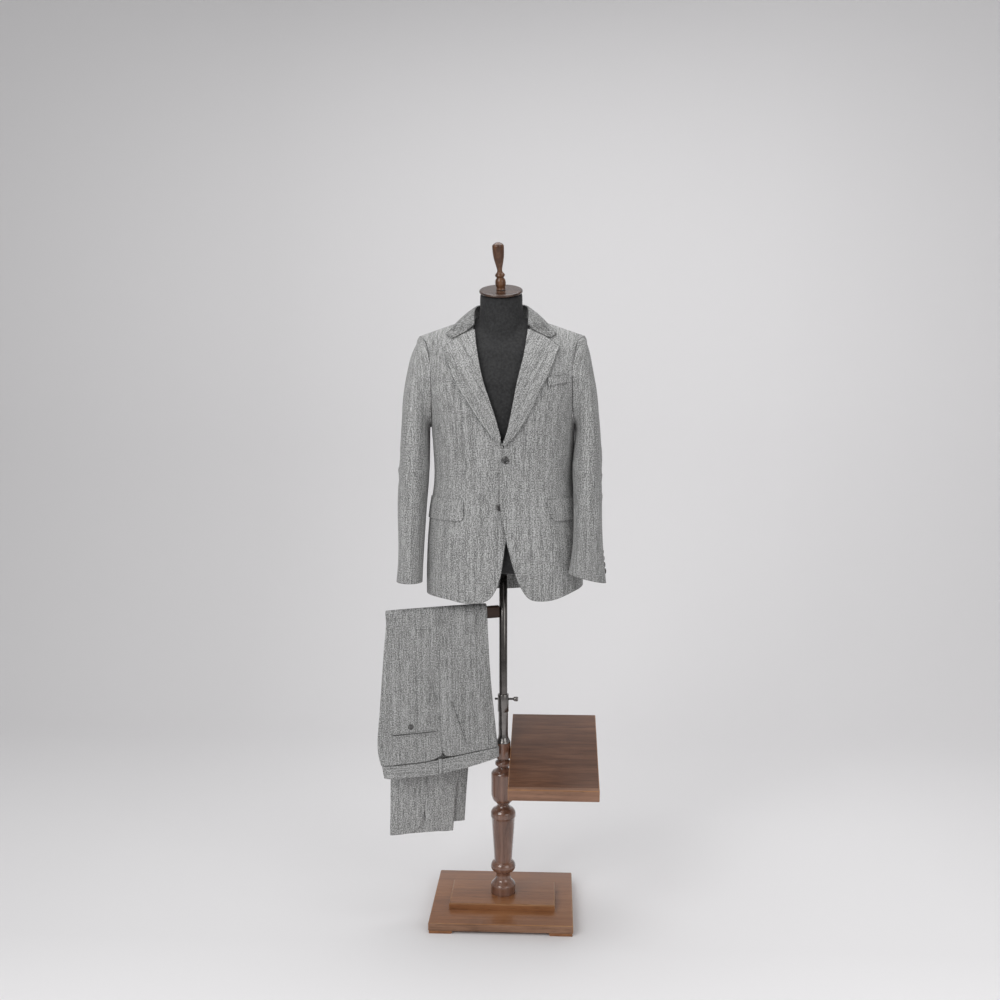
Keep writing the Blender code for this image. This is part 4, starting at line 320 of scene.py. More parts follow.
steel = chromed_steel("bright_steel", (0.26, 0.245, 0.235))
tube_bore, tube_outside = 0.0115, 0.0130
ferrule_low, tube_top = 0.4733, 0.5597
ferrule = flowing(
    (
        (tube_outside, 0.4973),
        (0.0140, 0.4883),
        (0.0172, 0.4803),
        (0.0198, 0.4753),
        (0.0200, ferrule_low),
    ),
    between=5,
)
line = [(tube_bore, ferrule_low), (tube_bore, tube_top), (tube_outside, tube_top), *ferrule]
lower_tube = turn_on_lathe("tube_lower", [*line, (tube_bore, ferrule_low)], steel, 48)
set_down(lower_tube, "stand", ["lower_tube"], (mast_x, mast_y, 0), flat_under=50)

# Clamp collar
# A split steel collar on top of the lower tube. Its two ears, behind the tube, are drawn
# together by the screw, so that it grips the sliding tube.
collar_low, collar_high, collar_outside, screw_height = 0.5600, 0.6090, 0.0150, 0.5890
line = [
    (tube_bore, collar_low),
    (tube_bore, collar_high),
    (collar_outside - 0.0010, collar_high),
    (collar_outside - 0.0003, collar_high - 0.0003),
    (collar_outside, collar_high - 0.0010),
    (collar_outside, collar_low + 0.0010),
    (collar_outside - 0.0003, collar_low + 0.0003),
    (collar_outside - 0.0010, collar_low),
    (tube_bore, collar_low),
]
clamp_collar = turn_on_lathe("clamp_ring", line, steel, 64)


def join_or_cut(piece, other, way):
    """Welds another shape on to a piece, or cuts it away."""
    change = piece.modifiers.new("change", "BOOLEAN")
    change.operation = way
    change.solver = "EXACT"
    change.object = other
    pick(piece)
    bpy.ops.object.modifier_apply(modifier=change.name)
    bpy.data.objects.remove(other, do_unlink=True)


for side in (-1, 1):
    ear = block("clamp_ear", (0.0045, 0.0160, 0.0200), steel)
    round_edges(ear, 0.0016, 3, lambda m, line: abs(line.x) > 0.003 and m.y > 0, material=0)
    ear.data.transform(Matrix.Translation((side * 0.0035, 0.0205, screw_height)))
    join_or_cut(clamp_collar, ear, "UNION")
slit = block("clamp_slit", (0.0022, 0.0200, 0.0600), steel)
slit.data.transform(Matrix.Translation((0, 0.0190, 0.5845)))
join_or_cut(clamp_collar, slit, "DIFFERENCE")
set_down(clamp_collar, "stand", ["clamp_collar"], (mast_x, mast_y, 0))

# Clamp screw
# A steel screw with a winged head. It goes through both ears of the collar and pulls them in.
screw_radius = 0.0030
line = [
    (0.0, 0.0400), (0.0046, 0.0400), (0.0058, 0.0394), (0.0062, 0.0382),
    (0.0062, 0.0300), (0.0055, 0.0284), (0.0045, 0.0275),
    (screw_radius, 0.0260),
]
pitch = 0.0010
for k in range(46):
    height = 0.0255 - k * pitch
    line.append((screw_radius, height))
    line.append((screw_radius - 0.0004, height - pitch / 2))
line += [(screw_radius, -0.0205), (screw_radius, -0.0235), (0.0022, -0.0245), (0.0, -0.0245)]
clamp_screw = turn_on_lathe("clamp_screw_steel", line, steel, 32)
clamp_screw.data.transform(Matrix.Rotation(math.radians(90), 4, "Y"))
wing = block("clamp_wing", (0.0060, 0.0290, 0.0120), steel)
round_edges(wing, 0.0045, 5, lambda m, line: abs(line.x) > 0.003, material=0)
round_edges(wing, 0.0009, 2, lambda m, line: abs(line.x) < 0.001, material=0)
wing.data.transform(Matrix.Rotation(math.radians(-12), 4, "X"))
wing.data.transform(Matrix.Translation((0.0352, 0, 0)))
join_or_cut(clamp_screw, wing, "UNION")
middle = (mast_x, mast_y + 0.0215, screw_height)
set_down(clamp_screw, "clamp_screw", ["clamp_screw"], middle)

# Shelf
# A tilted board on one bearer beside the post, with a raised lip along its front. All three
# are stained hardwood, glued and pinned.
shelf_tilt = math.radians(16.0)
SHELF_STAIN = ((0.120, 0.058, 0.032), (0.240, 0.122, 0.072), (0.340, 0.185, 0.115))
# The shelf board is given a darker brown than its lip and bearer.
DARKER_SHELF_TOP = ((0.060, 0.024, 0.012), (0.115, 0.050, 0.026), (0.180, 0.084, 0.046))
darker_shelf_top_wood = stained_wood("darker_shelf_top_wood", "X", DARKER_SHELF_TOP, figure=1.6)
shelf_wood = stained_wood("shelf_wood", "X", SHELF_STAIN, figure=0.9)
for node, size, width in (
    ("shelf", (0.2370, 0.3557, 0.0140), 0.0018),
    ("shelf_lip", (0.2370, 0.0140, 0.0340), 0.0022),
    ("shelf_bearer", (0.0900, 0.0460, 0.0260), 0.0020),
):
    board = block(f"wood_{node}", size, darker_shelf_top_wood if node == "shelf" else shelf_wood)
    round_edges(board, width, 4, lambda m, line: True)
    _, middle = size_and_middle(node)
    set_down(board, "stand", [node], middle, (shelf_tilt, 0, 0))

# Inner tube
# A thinner chromed tube that slides in the lower one and carries the form and the arm.
dark_steel = chromed_steel("sliding_steel", (0.150, 0.140, 0.133), 0.12)
line = [
    (0.0094, 0.1900), (0.0094, 1.0300), (0.0106, 1.0300), (0.0110, 1.0296),
    (0.0110, 0.1904), (0.0106, 0.1900), (0.0094, 0.1900),
]
inner_tube = turn_on_lathe("tube_inner", line, dark_steel, 48)
set_down(inner_tube, "mast", ["inner_tube"], (mast_x, mast_y, 0), flat_under=50)

# Trouser arm
# A stained hardwood bar with well rounded edges, fixed to the tube under the form. It hangs
# a little at its far end, and the trousers lie over it.
arm_yaw, arm_sag = math.radians(15.0), math.radians(2.0)
ARM_STAIN = ((0.016, 0.007, 0.003), (0.035, 0.015, 0.007), (0.060, 0.028, 0.014))
arm_wood = stained_wood("arm_wood", "X", ARM_STAIN, gloss=0.45, coat=0.05)
trouser_arm = block("wood_trouser_arm", (0.3020, 0.0190, 0.0330), arm_wood)
round_edges(trouser_arm, 0.0060, 6, lambda m, line: abs(line.x) > 0.1, material=0)
round_edges(trouser_arm, 0.0020, 3, lambda m, line: abs(m.x) > 0.15, material=0)
_, middle = size_and_middle("trouser_arm")
arm_turn = Matrix.Rotation(math.pi + arm_yaw, 4, "Z") @ Matrix.Rotation(arm_sag, 4, "Y")
set_down(trouser_arm, "mast", ["trouser_arm"], middle, arm_turn.to_euler())

# Dress form
# A firm moulded shell covered in black knit, closed at the foot, with no arms or legs. The
# cover has a seam down the middle of the front and the back.


def read_all(items, name, size=1, kind=float):
    """One property of all of a mesh's points, corners or faces."""
    values = np.zeros(len(items) * size, kind)
    items.foreach_get(name, values)
    return values.reshape(-1, size) if size > 1 else values


def new_object(name, data):
    """Puts an object with this mesh, lamp or camera in the scene."""
    thing = bpy.data.objects.new(name, data)
    bpy.context.scene.collection.objects.link(thing)
    return thing


def plain_copy(node):
    """A new object with the merged mesh of a node."""
    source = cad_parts[node].data
    points = read_all(source.vertices, "co", 3)
    _, first, index = np.unique(np.round(points, 6), axis=0, return_index=True, return_inverse=True)
    index = index.reshape(-1)
    faces = [[int(index[v]) for v in face.vertices] for face in source.polygons]
    faces = [face for face in faces if len(set(face)) == len(face)]
    mesh = bpy.data.meshes.new(node)
    mesh.from_pydata(points[first].tolist(), [], faces)
    piece = new_object(f"covered_{node}", mesh)
    pick(piece)
    return piece


def apply_modifier(piece, kind, **settings):
    change = piece.modifiers.new("change", kind)
    for key, value in settings.items():
        setattr(change, key, value)
    bpy.ops.object.modifier_apply(modifier=change.name)


def knit_cover(name):
    """Black jersey: fine ribs of knit, a faint nap, and a seam down the middle of each side."""
    material, shader, feed, add, graded = new_finish(name)
    place = add("TexCoord", "Object", {})
    mottle = add("TexNoise", "Fac", {"Scale": 160.0, "Detail": 4.0, "Vector": place})
    black = graded(mottle, (0.3, (0.012, 0.012, 0.0125)), (0.7, (0.030, 0.030, 0.031)))
    knit = add("TexWave", "Fac", {"Scale": 240.0, "Distortion": 0.6, "Vector": place})
    across = add("SeparateXYZ", "X", {"Vector": place})
    across = add("Math", 0, {0: across, 1: mast_x}, operation="SUBTRACT")
    away = add("Math", 0, {0: across}, operation="ABSOLUTE")
    seam = add("MapRange", "Result", {"From Max": 0.0016, "Value": away})
    ribs = add("Bump", "Normal", {"Strength": 0.25, "Distance": 0.0003, "Height": knit})
    groove = {"Strength": 0.7, "Distance": 0.0010, "Height": seam, "Normal": ribs}
    jersey = {
        "Base Color": black,
        "Normal": add("Bump", "Normal", groove),
        "Roughness": 0.78,
        "Specular IOR Level": 0.35,
        "Sheen Weight": 0.05,
        "Sheen Roughness": 0.5,
    }
    feed(shader, jersey)
    return material


form = plain_copy("dress_form")
apply_modifier(form, "REMESH", mode="VOXEL", voxel_size=0.0045, adaptivity=0.0)
apply_modifier(form, "SMOOTH", factor=0.5, iterations=14)
form.data.materials.append(knit_cover("black_jersey"))
set_down(form, "mast", ["dress_form"], flat_under=80)

# Neck cap
# A turned round of dark wood that closes the neck, tilted to the front, with a rounded rim.
neck_tilt, finial_lean = math.radians(20.0), math.radians(3.0)
cap_foot = Vector((mast_x - 0.0060, mast_y - 0.0040, 1.6944))
CAP_WOOD = ((0.014, 0.007, 0.004), (0.040, 0.018, 0.011), (0.100, 0.052, 0.032))
cap_wood = stained_wood("cap_wood", "X", CAP_WOOD, gloss=0.16, coat=0.6)
cap_radius, cap_depth, rim_radius = 0.0580, 0.0080, 0.0040
rim = [(0.0, cap_depth), (cap_radius - 0.0050, cap_depth)]
for k in range(13):
    turn = math.pi / 2 - math.pi * k / 12
    across = cap_radius - rim_radius + rim_radius * math.cos(turn)
    rim.append((across, cap_depth / 2 + rim_radius * math.sin(turn)))
rim += [(cap_radius - 0.0050, 0.0), (0.0, 0.0)]
neck_cap = turn_on_lathe("wood_neck_cap", rim, cap_wood, 96)
set_down(neck_cap, "mast", ["neck_cap"], cap_foot, (neck_tilt, 0, 0))

# Finial
# A turned hardwood grip on top of the neck cap, by which the form is lifted. It is stained
# a warmer brown and varnished.
FINIAL_OUTLINE = (
    (0.0000, 0.1246), (0.0052, 0.1232), (0.0098, 0.1210), (0.0133, 0.1184),
    (0.0152, 0.1154), (0.0156, 0.1120), (0.0153, 0.1014), (0.0139, 0.0860),
    (0.0121, 0.0757), (0.0096, 0.0654), (0.0073, 0.0551), (0.0067, 0.0500),
    (0.0082, 0.0448), (0.0118, 0.0410), (0.0132, 0.0372), (0.0114, 0.0340),
    (0.0094, 0.0314), (0.0106, 0.0290), (0.0133, 0.0240), (0.0141, 0.0165),
    (0.0130, 0.0100), (0.0114, 0.0049), (0.0122, 0.0024), (0.0128, 0.0003),
)
GRIP = ((0.028, 0.010, 0.004), (0.090, 0.036, 0.015), (0.210, 0.100, 0.048))
grip_wood = stained_wood("grip_wood", "Z", GRIP, gloss=0.20, figure=2.0)
line = [*flowing(FINIAL_OUTLINE), (0.0, 0.0003)]
finial = turn_on_lathe("wood_finial", line, grip_wood, 48)
middle = cap_foot + Matrix.Rotation(neck_tilt, 3, "X") @ Vector((0, 0, cap_depth + 0.0012))
finial_turn = Matrix.Rotation(neck_tilt, 4, "X") @ Matrix.Rotation(-finial_lean, 4, "Y")
set_down(finial, "mast", ["finial"], middle, finial_turn.to_euler())

# Back panels
# The jacket's two backs, cut from pale grey cloth with the weave running down. They are sewn
# together down the middle of the back, and to the side panels, shoulders and sleeves.
SIDES = ("left", "right")
PANELS = ("back", "side", "front", "lapel", "flap")
CLOTH_NODES = [
    *(f"{part}_{side}" for part in PANELS for side in SIDES),
    *(f"sleeve_{side}_{part}" for side in SIDES for part in ("top", "under")),
    *("collar_leaf", "collar_stand", "breast_welt"),
]
RADIUS_OF_BODY = 0.170  # turns the angle round the body into a length of cloth
RIM_ANGLE = math.radians(62)
OUTER, INNER, RIM = 0, 1, 2  # marks of a solid's faces while its two sheets are told apart


def tree_of(node):
    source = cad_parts[node].data
    points = [v.co.copy() for v in source.vertices]
    return BVHTree.FromPolygons(points, [tuple(p.vertices) for p in source.polygons])


cloth_trees = {node: (tree_of(node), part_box(node)) for node in CLOTH_NODES}

# The cloth's greys by the value of its mixed yarns, and the widths of the grooves and painted shade
# along its seams and free edges.
GREYS = (
    (0.380, (0.1280, 0.1280, 0.1280)),
    (0.455, (0.2180, 0.2189, 0.2147)),
    (0.500, (0.2850, 0.2861, 0.2807)),
    (0.545, (0.3540, 0.3554, 0.3487)),
    (0.620, (0.5000, 0.5000, 0.5000)),
)
SEAM_REACH, EDGE_SHADE_REACH, STITCH_INSIDE = 0.0024, 0.0026, 0.0065


def suiting(
    name, tone=1.0, edge_stitch=0.0, groove=(0.0016, 0.35), seam_shade=0.86, edge_shade=0.62
):
    """Mixed grey yarns: slub streaks along the warp, fine specks, and a fine herringbone
    relief. Seams and stitching lie in soft bumped grooves with painted shade in them, and
    painted shade darkens the free edges."""
    material, shader, feed, add, graded = new_finish(name)
    weave = add("UVMap", "UV", {}, uv_map="weave")

    def yarns(width, length):
        stretched = add("Mapping", "Vector", {"Scale": (1 / width, 1 / length, 1), "Vector": weave})
        noise = {"Scale": 1.0, "Detail": 1.0, "Roughness": 0.6, "Vector": stretched}
        return add("TexNoise", "Fac", noise, noise_dimensions="2D")

    def number(operation, *values):
        return add("Math", 0, dict(enumerate(values)), operation=operation)

    def soft_step(value, width, low):
        sockets = {"Value": value, "From Max": width, "To Min": low}
        return add("MapRange", "Result", sockets, interpolation_type="SMOOTHSTEP")

    grain, short, long = yarns(0.0022, 0.0036), yarns(0.0021, 0.030), yarns(0.0075, 0.240)
    mixed = number("MULTIPLY_ADD", grain, 0.56, number("MULTIPLY", short, 0.28))
    mixed = number("MULTIPLY_ADD", long, 0.16, mixed)
    dyed = graded(mixed, *((place, [c * tone for c in grey]) for place, grey in GREYS))
    sewn = add("Attribute", "Fac", {}, attribute_name="sewn_edge")
    free = add("Attribute", "Fac", {}, attribute_name="free_edge")
    groove_and_painted_shade = soft_step(sewn, SEAM_REACH, 0.0)
    if edge_stitch:
        away = number("ABSOLUTE", number("SUBTRACT", free, edge_stitch))
        groove_and_painted_shade = number("MULTIPLY", groove_and_painted_shade, soft_step(away, *groove))
    # Painted shade: the colour is darkened along the seams, in the stitch groove and along the free
    # edges.
    painted_seam_shade = add("MapRange", "Result", {"To Min": seam_shade, "Value": groove_and_painted_shade})
    painted_shade = number("MULTIPLY", painted_seam_shade, soft_step(free, EDGE_SHADE_REACH, edge_shade))
    shade = {"Factor": 1.0, 6: dyed, 7: painted_shade}
    zigzag = number("PINGPONG", add("SeparateXYZ", "X", {"Vector": weave}), 0.0060)
    steps = number("ADD", zigzag, add("SeparateXYZ", "Y", {"Vector": weave}))
    twill = number("SINE", number("MULTIPLY", steps, 2 * math.pi / 0.0015))
    height = number("MULTIPLY_ADD", twill, 0.10, number("MULTIPLY", grain, 1.1))
    fine = add("Bump", "Normal", {"Strength": 0.45, "Distance": 0.0006, "Height": height})
    fold = {"Strength": 0.4, "Distance": 0.0010, "Height": groove_and_painted_shade, "Normal": fine}
    wool = {
        "Base Color": add("Mix", 2, shade, data_type="RGBA", blend_type="MULTIPLY"),
        "Normal": add("Bump", "Normal", fold),
        "Roughness": 0.88,
        "Specular IOR Level": 0.25,
        "Sheen Weight": 0.10,
        "Sheen Roughness": 0.45,
    }
    feed(shader, wool)
    return material


suit_cloth = suiting("suiting_plain")
edged_cloth = suiting("suiting_edged", edge_stitch=STITCH_INSIDE)
# Painted shade: a darker copy of the cloth, for the left sleeve.
shaded_cloth = suiting("suiting_shaded", tone=0.92)
# Painted shadow: the lapel cloth is darkened strongly along its free edges, with lighter painted shade
# along its seams.
lapel_cloth = suiting("suiting_lapel", edge_stitch=STITCH_INSIDE, seam_shade=0.93, edge_shade=0.42)
band_cloth = suiting("suiting_band", edge_stitch=STITCH_INSIDE, edge_shade=0.92)

# How far the lapels' roll lines are from the middle, by height.
ROLL_HEIGHTS = (1.260, 1.300, 1.330, 1.360, 1.420, 1.480, 1.550)
ROLL_DISTANCES = (0.004, 0.014, 0.026, 0.044, 0.069, 0.088, 0.108)
FLAP_SEAM_HEIGHT = 1.147
SEAM_GAP, SEAM_ROOM = 0.0018, 0.002


def near_others(node, points):
    """Which points of a rim lie against another cut piece, and so are sewn to it."""
    if node.startswith("flap"):
        return points[:, 2] > FLAP_SEAM_HEIGHT
    sewn = np.zeros(len(points), bool)
    if node.startswith("lapel"):
        roll_line = np.interp(points[:, 2], ROLL_HEIGHTS, ROLL_DISTANCES)
        sewn = np.abs(points[:, 0] - mast_x) < roll_line
    for other, (tree, (low, high)) in cloth_trees.items():
        if other == node or other.startswith(("flap", "breast")):
            continue
        if other.startswith("front") and node.startswith(("lapel", "front")):
            continue
        above_low = points > np.array(low) - SEAM_ROOM
        inside = (above_low & (points < np.array(high) + SEAM_ROOM)).all(1)
        for i in np.nonzero(inside & ~sewn)[0]:
            hit = tree.find_nearest(Vector(points[i]), SEAM_GAP)
            sewn[i] = hit[0] is not None
    return sewn


def distances(points, targets, far=0.05):
    """How far each point is from the nearest target."""
    result = np.full(len(points), far)
    if len(targets):
        tree = KDTree(len(targets))
        for i, target in enumerate(targets):
            tree.insert(target, i)
        tree.balance()
        for i, point in enumerate(points):
            result[i] = min(far, tree.find(point)[2])
    return result


def get_points(piece):
    return read_all(piece.data.vertices, "co", 3)


def set_points(piece, points):
    piece.data.vertices.foreach_set("co", points.astype(np.float32).ravel())
    piece.data.update()


def squared_mesh(piece):
    """A piece's mesh for editing, with its triangles joined into four-sided faces."""
    shape = bmesh.new()
    shape.from_mesh(piece.data)
    bmesh.ops.join_triangles(
        shape,
        faces=shape.faces[:],
        angle_face_threshold=math.radians(40),
        angle_shape_threshold=math.radians(70),
    )
    return shape


def cut_piece(node, levels, outward):
    """A cut piece of cloth from its solid: its two faces are told apart from its rim, and it
    is made fine. Returns the piece and the outward direction at each of its points."""
    piece = plain_copy(node)
    piece.name = f"cloth_{node}"
    shape = squared_mesh(piece)
    shape.faces.ensure_lookup_table()
    sheet = {}
    areas, facing = [], []
    for seed in shape.faces:
        if seed.index in sheet:
            continue
        number = len(areas)
        sheet[seed.index] = number
        area, out, queue = 0.0, 0.0, [seed]
        while queue:
            face = queue.pop()
            centre = face.calc_center_median()
            area += face.calc_area()
            out += face.calc_area() * face.normal.dot(outward(centre))
            for edge in face.edges:
                if len(edge.link_faces) != 2 or edge.calc_face_angle() > RIM_ANGLE:
                    continue
                for other in edge.link_faces:
                    if other.index not in sheet:
                        sheet[other.index] = number
                        queue.append(other)
        areas.append(area)
        facing.append(out)
    large = sorted(range(len(areas)), key=lambda k: -areas[k])[:2]
    outer = max(large, key=lambda k: facing[k])
    inner = min(large, key=lambda k: facing[k])
    crease = shape.edges.layers.float.new("crease_edge")
    for face in shape.faces:
        number = sheet[face.index]
        face.material_index = OUTER if number == outer else INNER if number == inner else RIM
        face.smooth = True
    for edge in shape.edges:
        if len({face.material_index for face in edge.link_faces}) > 1:
            edge[crease] = 1.0
        elif len(edge.link_faces) == 2 and edge.calc_face_angle() > RIM_ANGLE:
            edge[crease] = 1.0
    shape.to_mesh(piece.data)
    shape.free()
    for _ in range(3):
        piece.data.materials.append(suit_cloth)
    apply_modifier(piece, "SUBSURF", levels=levels, render_levels=levels)
    mesh = piece.data
    points = get_points(piece)
    corners = read_all(mesh.loops, "vertex_index", kind=int)
    totals = read_all(mesh.polygons, "loop_total", kind=int)
    marks = read_all(mesh.polygons, "material_index", kind=int)
    normals = read_all(mesh.polygons, "normal", 3)
    signs = np.where(marks == OUTER, 1.0, np.where(marks == INNER, -1.0, 0.0))
    per_corner = np.repeat(normals * signs[:, None], totals, axis=0)
    out = np.zeros_like(points)
    np.add.at(out, corners, per_corner)
    out /= np.maximum(np.linalg.norm(out, axis=1, keepdims=True), 1e-9)
    rim = np.unique(corners[np.repeat(marks == RIM, totals)])
    sewn = near_others(node, points[rim])
    write_distance(piece, "sewn_edge", distances(points, points[rim[sewn]]))
    write_distance(piece, "free_edge", distances(points, points[rim[~sewn]]))
    mesh.polygons.foreach_set("material_index", np.zeros(len(mesh.polygons), int))
    return piece, out


def write_distance(piece, name, values):
    attribute = piece.data.attributes.new(name, "FLOAT", "POINT")
    attribute.data.foreach_set("value", values.astype(np.float32))


def read_distance(piece, name):
    return read_all(piece.data.attributes[name].data, "value", kind=np.float32)


def lay_weave(piece, across, along):
    """Lays the cloth's pattern on a piece, in metres across and along the warp."""
    corners = read_all(piece.data.loops, "vertex_index", kind=int)
    layer = piece.data.uv_layers.new(name="weave")
    values = np.stack([across[corners], along[corners]], -1)
    layer.data.foreach_set("uv", values.astype(np.float32).ravel())


def round_the_body(points):
    """Length of cloth round the body from the middle of the front, and up it. Over the chest
    the pattern runs straight up to the shoulder seam."""
    x, y, z = points[:, 0] - mast_x, points[:, 1] - mast_y, points[:, 2]
    depth = np.where(y < 0, 0.125, 0.118)
    half_width, squareness, chest_height = 0.236, 2.4, 1.38
    full = np.clip(1 - (np.abs(x) / half_width) ** squareness, 0, 1) ** (1 / squareness)
    full = depth * full
    high = np.clip((z - chest_height) / 0.06, 0, 1)
    high = high * high * (3 - 2 * high)
    turned = np.maximum(full - np.abs(y), 0) * high
    y = y * (1 - high) + np.where(y < 0, -1, 1) * full * high
    angle = np.arctan2(x / 0.200, -y / 0.122)
    return angle * RADIUS_OF_BODY, z + 0.8 * turned


def out_of_body(point):
    return Vector(((point[0] - mast_x) / 0.20, (point[1] - mast_y) / 0.12, 0)).normalized()


FOLD_COLUMNS = ("across", "along", "lean", "length", "width", "rise")
BODY_SOFT_FOLDS = (
    (0.120, 1.400, -35.0, 0.060, 0.0120, -0.0022),
    (0.152, 1.360, -25.0, 0.070, 0.0100, 0.0022),
    (-0.120, 1.405, 35.0, 0.060, 0.0120, -0.0022),
    (-0.150, 1.360, 25.0, 0.070, 0.0100, 0.0022),
    (0.080, 1.235, 70.0, 0.050, 0.0080, -0.0014),
    (0.100, 1.262, 105.0, 0.050, 0.0090, 0.0012),
    (-0.070, 1.240, -70.0, 0.050, 0.0080, -0.0014),
    (-0.105, 1.215, -98.0, 0.055, 0.0090, 0.0012),
    (0.120, 1.020, 4.0, 0.110, 0.0130, 0.0024),
    (0.075, 1.000, -3.0, 0.090, 0.0120, -0.0018),
    (-0.115, 1.030, -5.0, 0.110, 0.0130, 0.0022),
    (-0.060, 1.010, 3.0, 0.090, 0.0130, -0.0018),
    (0.250, 1.020, 3.0, 0.130, 0.0140, -0.0024),
    (0.262, 1.250, 0.0, 0.120, 0.0400, 0.0030),
    (0.330, 1.230, 60.0, 0.060, 0.0120, -0.0024),
    (0.400, 1.255, 80.0, 0.060, 0.0110, 0.0020),
    (0.420, 1.000, 2.0, 0.130, 0.0150, 0.0026),
    (-0.250, 1.030, -3.0, 0.130, 0.0140, -0.0024),
    (-0.330, 1.225, -60.0, 0.060, 0.0120, -0.0024),
    (-0.405, 1.250, -80.0, 0.060, 0.0110, 0.0020),
    (-0.430, 1.010, -2.0, 0.130, 0.0150, 0.0026),
    (0.300, 1.400, 20.0, 0.080, 0.0130, 0.0022),
    (-0.300, 1.395, -20.0, 0.080, 0.0130, 0.0022),
)


def soft_folds(rows, across, along):
    """Rise of the cloth from a table of folds. Each is a long soft ridge or trough, steeper
    on one side, with its middle, its lean from upright, its half length and half width."""
    rise = np.zeros(len(across))
    for row in rows:
        fold = dict(zip(FOLD_COLUMNS, row))
        lean = math.radians(fold["lean"])
        x, y = across - fold["across"], along - fold["along"]
        run = x * math.sin(lean) + y * math.cos(lean)
        side = x * math.cos(lean) - y * math.sin(lean)
        side = side + 0.9 * run * run / max(fold["length"], 0.02) * 0.25
        width = np.where(side > 0, fold["width"], fold["width"] * 0.6)
        rise += fold["rise"] * np.exp(-((run / fold["length"]) ** 2) - (side / width) ** 2)
    return rise


def body_rise(points):
    across, along = round_the_body(points)
    return soft_folds(BODY_SOFT_FOLDS, across, along)


def sew_down(piece, points, out, depth=0.0003, reach=0.0045):
    """Draws the cloth in a little along its seams."""
    near = read_distance(piece, "sewn_edge")
    return points - out * (depth * np.exp(-((near / reach) ** 2)))[:, None]


def finish_cloth(piece, nodes, flat, area, material=None):
    if material:
        for k in range(len(piece.data.materials)):
            piece.data.materials[k] = material
    piece.data.polygons.foreach_set("use_smooth", np.ones(len(piece.data.polygons), bool))
    pick(piece)
    bpy.ops.object.shade_smooth_by_angle(angle=math.radians(50))
    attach(piece, "mast")
    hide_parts(*nodes)


def body_panel(node, levels, flat, area, material):
    piece, out = cut_piece(node, levels, out_of_body)
    points = get_points(piece)
    lay_weave(piece, *round_the_body(points))
    rise = body_rise(points)
    if node == "front_left":
        hem_height, lapel_height, lift, reach = 0.95, 1.27, 0.0022, 0.013
        above_hem = np.clip((points[:, 2] - hem_height) / 0.06, 0, 1)
        below_lapel = np.clip((lapel_height - points[:, 2]) / 0.03, 0, 1)
        free = read_distance(piece, "free_edge")
        rise = rise + lift * np.exp(-((free / reach) ** 2)) * above_hem * below_lapel
    points = points + out * rise[:, None]
    set_points(piece, sew_down(piece, points, out))
    finish_cloth(piece, [node], flat, area, material=material)


for side in SIDES:
    body_panel(f"back_{side}", 3, (0.255, 0.780), 0.151, suit_cloth)

# Side panels
# A narrow panel under each arm, between the front and the back, which shapes the waist.
for side, area in (("left", 0.0490), ("right", 0.0515)):
    body_panel(f"side_{side}", 3, (0.120, 0.480), area, suit_cloth)

# Front panels
# The two fronts, rounded away at the hem. The left one laps over the right one, and each is
# stitched 6.5 mm inside its edge. The free edge of the left one stands a little off the right.
for side, area in (("left", 0.135), ("right", 0.1455)):
    body_panel(f"front_{side}", 3, (0.270, 0.760), area, edged_cloth)

# Lapels
# Each front is turned back along its roll line and lies on the chest. The weave runs along
# its outer edge, and it meets the collar in a notch.


def lapel_weave(points, side):
    slant = math.radians(28.0) * side
    x, z = points[:, 0] - mast_x, points[:, 2] - 1.40
    across = x * math.cos(slant) - z * math.sin(slant)
    along = x * math.sin(slant) + z * math.cos(slant)
    return across, along


for side_name, side in (("left", 1), ("right", -1)):
    node = f"lapel_{side_name}"
    piece, out = cut_piece(node, 3, lambda point: Vector((0, -1, 0)))
    points = get_points(piece)
    lay_weave(piece, *lapel_weave(points, side))
    lift, reach = 0.0026, 0.014
    lifted = lift * np.exp(-((read_distance(piece, "free_edge") / reach) ** 2))
    set_points(piece, points + out * (body_rise(points) + lifted)[:, None])
    finish_cloth(piece, [node], (0.110, 0.340), 0.0198, material=lapel_cloth)

# Collar
# A stand sewn round the neck, and a leaf that turns over it and lies on the shoulders as far
# as the notches. Both are cut across, so that the streaks run along them at the front.


def out_of_neck(point):
    return Vector((point[0] - mast_x, point[1] - mast_y, 0.04)).normalized()


# Painted shade: the collar gets a darker copy of the cloth, at 0.71 of its tone.
painted_shade_collar_cloth = suiting(
    "suiting_collar", tone=0.71, edge_stitch=STITCH_INSIDE, seam_shade=0.96, edge_shade=0.85
)
for node, flat, area in (
    ("collar_leaf", (0.085, 0.470), 0.0300),
    ("collar_stand", (0.036, 0.330), 0.0090),
):
    piece, out = cut_piece(node, 2, out_of_neck)
    points = get_points(piece)
    turn = np.arctan2(points[:, 0] - mast_x, -(points[:, 1] - mast_y))
    lay_weave(piece, turn * 0.10, points[:, 2])
    finish_cloth(piece, [node], flat, area, material=painted_shade_collar_cloth)

